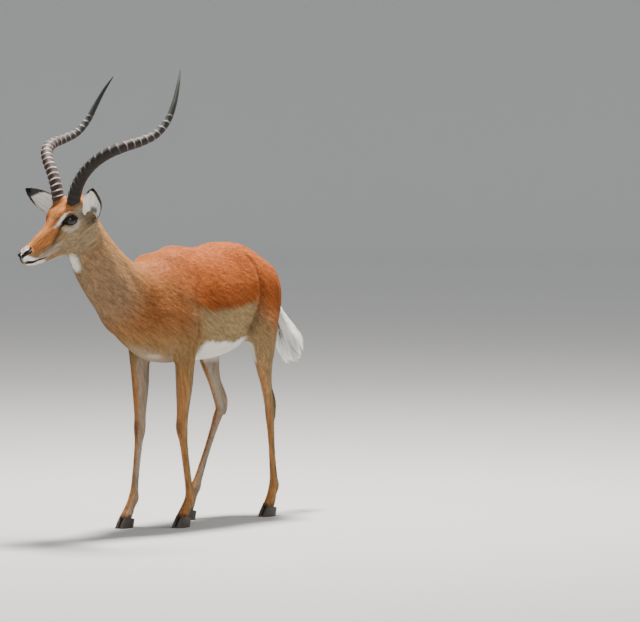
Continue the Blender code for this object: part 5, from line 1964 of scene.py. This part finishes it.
def tail_locks():
    count, steps, bunches = ((2600, 9, 84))
    path = eased(TAIL_ROWS, 8)
    centre, reach = path[:, :3], path[:, 3:]
    along = unit(np.gradient(centre, axis=0))
    over = np.cross(along, np.array([0.0, 1.0, 0.0]))
    run = np.linspace(0, 1, len(path))
    bunch = dice.integers(0, bunches, count)
    start = (dice.beta(1.3, 1.2, bunches) * 0.72 + 0.02)[bunch] + dice.normal(0, 0.03, count)
    start = np.clip(start, 0.02, 0.8)
    reach_on = dice.uniform(0.22, 0.50, bunches)[bunch]
    tip = np.minimum(start + reach_on * (0.6 + 0.6 * start), 1.03)
    length = tip - start
    bunch_turn = dice.uniform(-math.pi, math.pi, bunches)[bunch]
    loose = dice.normal(0, 0.42, count)
    turn = bunch_turn + loose
    bush = dice.uniform(0.45, 1.16, bunches)[bunch] * dice.uniform(0.86, 1.0, count)
    splay = (dice.random(bunches) ** 2 * 0.7)[bunch] * rise(0.25, 0.5, start)
    lines = np.empty((count, steps, 3))
    for k, t in enumerate(np.linspace(0, 1, steps)):
        s = np.minimum(start + length * t, 1.0)
        at = np.stack([np.interp(s, run, centre[:, a]) for a in range(3)], 1)
        up = unit(np.stack([np.interp(s, run, over[:, a]) for a in range(3)], 1))
        wide, above, below = (np.interp(s, run, reach[:, a]) for a in range(3))
        skin_share = 0.30 + (bush - 0.30) * (1 - (1 - t) ** 2) + splay * max(0.0, t - 0.5)
        swing = bunch_turn + loose * (1 - 0.93 * t)
        tall = np.where(np.cos(swing) > 0, above, below)
        spread = np.maximum(skin_share, 0.0055 / np.maximum(wide, 1e-3) * (1 - t))
        lines[:, k] = at + up * (np.cos(swing) * tall * spread)[:, None]
        lines[:, k, 1] += np.sin(swing) * wide * spread
        gap = np.maximum(0, start + length * t - 1)
        lines[:, k] += gap[:, None] * np.array([-0.030, 0, -0.034])
    taper = 1 - np.linspace(0, 1, steps) ** 2.0 * 0.90
    widths = dice.uniform(0.0016, 0.0034, count)[:, None] * taper[None]
    facing = np.stack([0.4 * np.cos(turn), np.sin(turn), np.cos(turn) + 0.7], 1)
    facing = unit(facing + dice.normal(0, 0.25, (count, 3)))
    made, per_lock = ribbons("tail_locks", lines, widths, facing, TAIL)
    dark = (np.cos(turn) > 0.86) * (start < 0.42) * 0.85
    tan = (np.abs(np.sin(turn)) > 0.25) * (np.cos(turn) > -0.2) * (start < 0.16) * 0.8
    up_lock = np.tile(np.append(np.repeat(np.linspace(0, 1, steps)[:-1], 2), 1.0), count)
    dark, tan, shade = (np.repeat(row, per_lock) for row in (dark, tan, dice.random(count)))
    write_colour(made.data, "lock_marks", dark, tan * (1 - up_lock), shade)
    return made


def tail_material():
    made, tree, shader = new_material("tail_hair", Roughness=0.62, Specular_IOR_Level=0.3, Sheen_Weight=0.1)
    dark, tan, shade = split(tree, attribute(tree, "lock_marks"))
    colour = mixed(tree, shade, (0.88, 0.87, 0.84, 1), (0.97, 0.96, 0.94, 1))
    colour = mixed(tree, tan, colour, TAN)
    tree.links.new(mixed(tree, dark, colour, BLACK), shader.inputs["Base Color"])
    return made


TAIL = tail_material()
brush = tail_locks()
print("tail brush has", len(brush.data.polygons), "triangles")

# %% [markdown]
# ## Bring the pieces to the solids
# Everything was made where the forms are, so every piece now takes the small shift that
# centred the solids. Then each piece is hung on the body it moves with, and the solids it
# stands in for are hidden.

# %% Shift, ride, replace
FLESH = [
    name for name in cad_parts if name.startswith(("head", "neck", "trunk", "foreleg", "hindleg", "ear"))
]
dressed = [(skin, FLESH, "coat")] + [(piece, [], "coat") for piece in coat_pieces]
dressed += [(eyeballs[side], ["eye_" + word], "eye") for side, word in SIDES]
dressed += [(horns[side], ["horn_" + word], "horn") for side, word in SIDES]
dressed += [(piece, [node], "hoof") for node, piece in claws.items()]
dressed.append((brush, ["tail"], "tail_hair"))
for piece, nodes, finish in dressed:
    piece.data.transform(Matrix.Translation(SHIFT))
    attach(piece, "root")
    if nodes:
        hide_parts(*nodes)
print(len(dressed), "pieces;", sum(len(piece[0].data.polygons) for piece in dressed), "faces")

# %% [markdown]
# ## Floor, light and camera
# A plain pale floor curves up into the backdrop, and its paint grows paler far out. A soft
# light hangs high above the back, a little to the far side, as a high sun would stand. A weak
# broad one in front fills the shade, and one from behind lights the tail and the rump.

# %% Floor and light
VIEW_TURN, VIEW_LIFT, VIEW_FAR = math.radians(38), math.radians(3.5), 15.0
level = math.cos(VIEW_LIFT)
toward = np.array([math.cos(VIEW_TURN) * level, math.sin(VIEW_TURN) * level, math.sin(VIEW_LIFT)])
rightward = np.array([-math.sin(VIEW_TURN), math.cos(VIEW_TURN), 0.0])
upward = np.cross(toward, rightward)
FLOOR_REACH, BEND, WALL_TOP = 17.0, 3.0, 6.0
FLOOR_GAP = 0.0002  # the floor lies this much below the soles
FLOOR_AROUND = 96


def backdrop():
    """A round floor that turns up into a low wall far out, all the way round."""
    profile = [(radius, 0.0) for radius in (0.001, 3.0, 6.0, 9.0, 12.0, 15.0, FLOOR_REACH)]
    for t in np.linspace(0.1, math.pi / 2, 14):
        profile.append((FLOOR_REACH + BEND * math.sin(t), BEND - BEND * math.cos(t)))
    profile.append((FLOOR_REACH + BEND, WALL_TOP))
    turns = np.linspace(0, 2 * math.pi, FLOOR_AROUND, endpoint=False)
    rings = [
        np.stack([radius * np.cos(turns), radius * np.sin(turns), 0 * turns + height - FLOOR_GAP], 1)
        for radius, height in profile
    ]
    made = lathe_grid("backdrop", rings, closed_ends=False)
    far = rise(3.0, 16.0, np.repeat([radius for radius, _ in profile], FLOOR_AROUND))
    write_colour(made.data, "paint", far, far, far)
    paint, tree, shader = new_material("backdrop_paint", Roughness=0.9)
    share, _, _ = split(tree, attribute(tree, "paint"))
    painted = mixed(tree, share, (0.34, 0.34, 0.33, 1), (0.90, 0.90, 0.88, 1))
    tree.links.new(painted, shader.inputs["Base Color"])
    made.data.materials.append(paint)
    return made


def soft_light(name, place, target, size, power, colour):
    lamp = bpy.data.lights.new(name, "AREA")
    lamp.shape = "DISK"
    lamp.size = size
    lamp.energy = power
    lamp.color = colour
    made = bpy.data.objects.new(name, lamp)
    bpy.context.scene.collection.objects.link(made)
    made.location = place
    made.rotation_euler = (Vector(target) - Vector(place)).to_track_quat("-Z", "Y").to_euler()
    return made


backdrop()
soft_light("key", (-0.6, -0.5, 5.4), (0.0, 0.0, 0.7), 1.0, 1580.0, (1.0, 0.965, 0.91))
soft_light("fill", (4.4, 2.4, 2.2), (0.0, 0.0, 0.7), 3.0, 104.0, (0.96, 0.98, 1.0))
soft_light("rim", (-3.0, 2.2, 3.2), (0.0, 0.0, 0.9), 1.6, 150.0, (1.0, 0.97, 0.93))
world = bpy.data.worlds.new("studio")
world.use_nodes = True
world.node_tree.nodes["Background"].inputs["Color"].default_value = (0.92, 0.95, 1.0, 1)
world.node_tree.nodes["Background"].inputs["Strength"].default_value = 0.34
bpy.context.scene.world = world

# %% Camera
BESIDE, ABOVE = 0.39683, 0.66984  # from the origin to the middle of the view, in metres
lens = bpy.data.cameras.new("camera")
lens.sensor_width = 36.0
lens.lens = 265.8
lens.clip_end = 100.0
camera = bpy.data.objects.new("camera", lens)
bpy.context.scene.collection.objects.link(camera)
stand = toward * VIEW_FAR + rightward * BESIDE + upward * ABOVE + SHIFT
aim = Matrix(np.stack([rightward, upward, toward], 1).tolist())
camera.matrix_world = Matrix.Translation(stand) @ aim.to_4x4()
bpy.context.scene.camera = camera
print("camera at", stand.round(3))
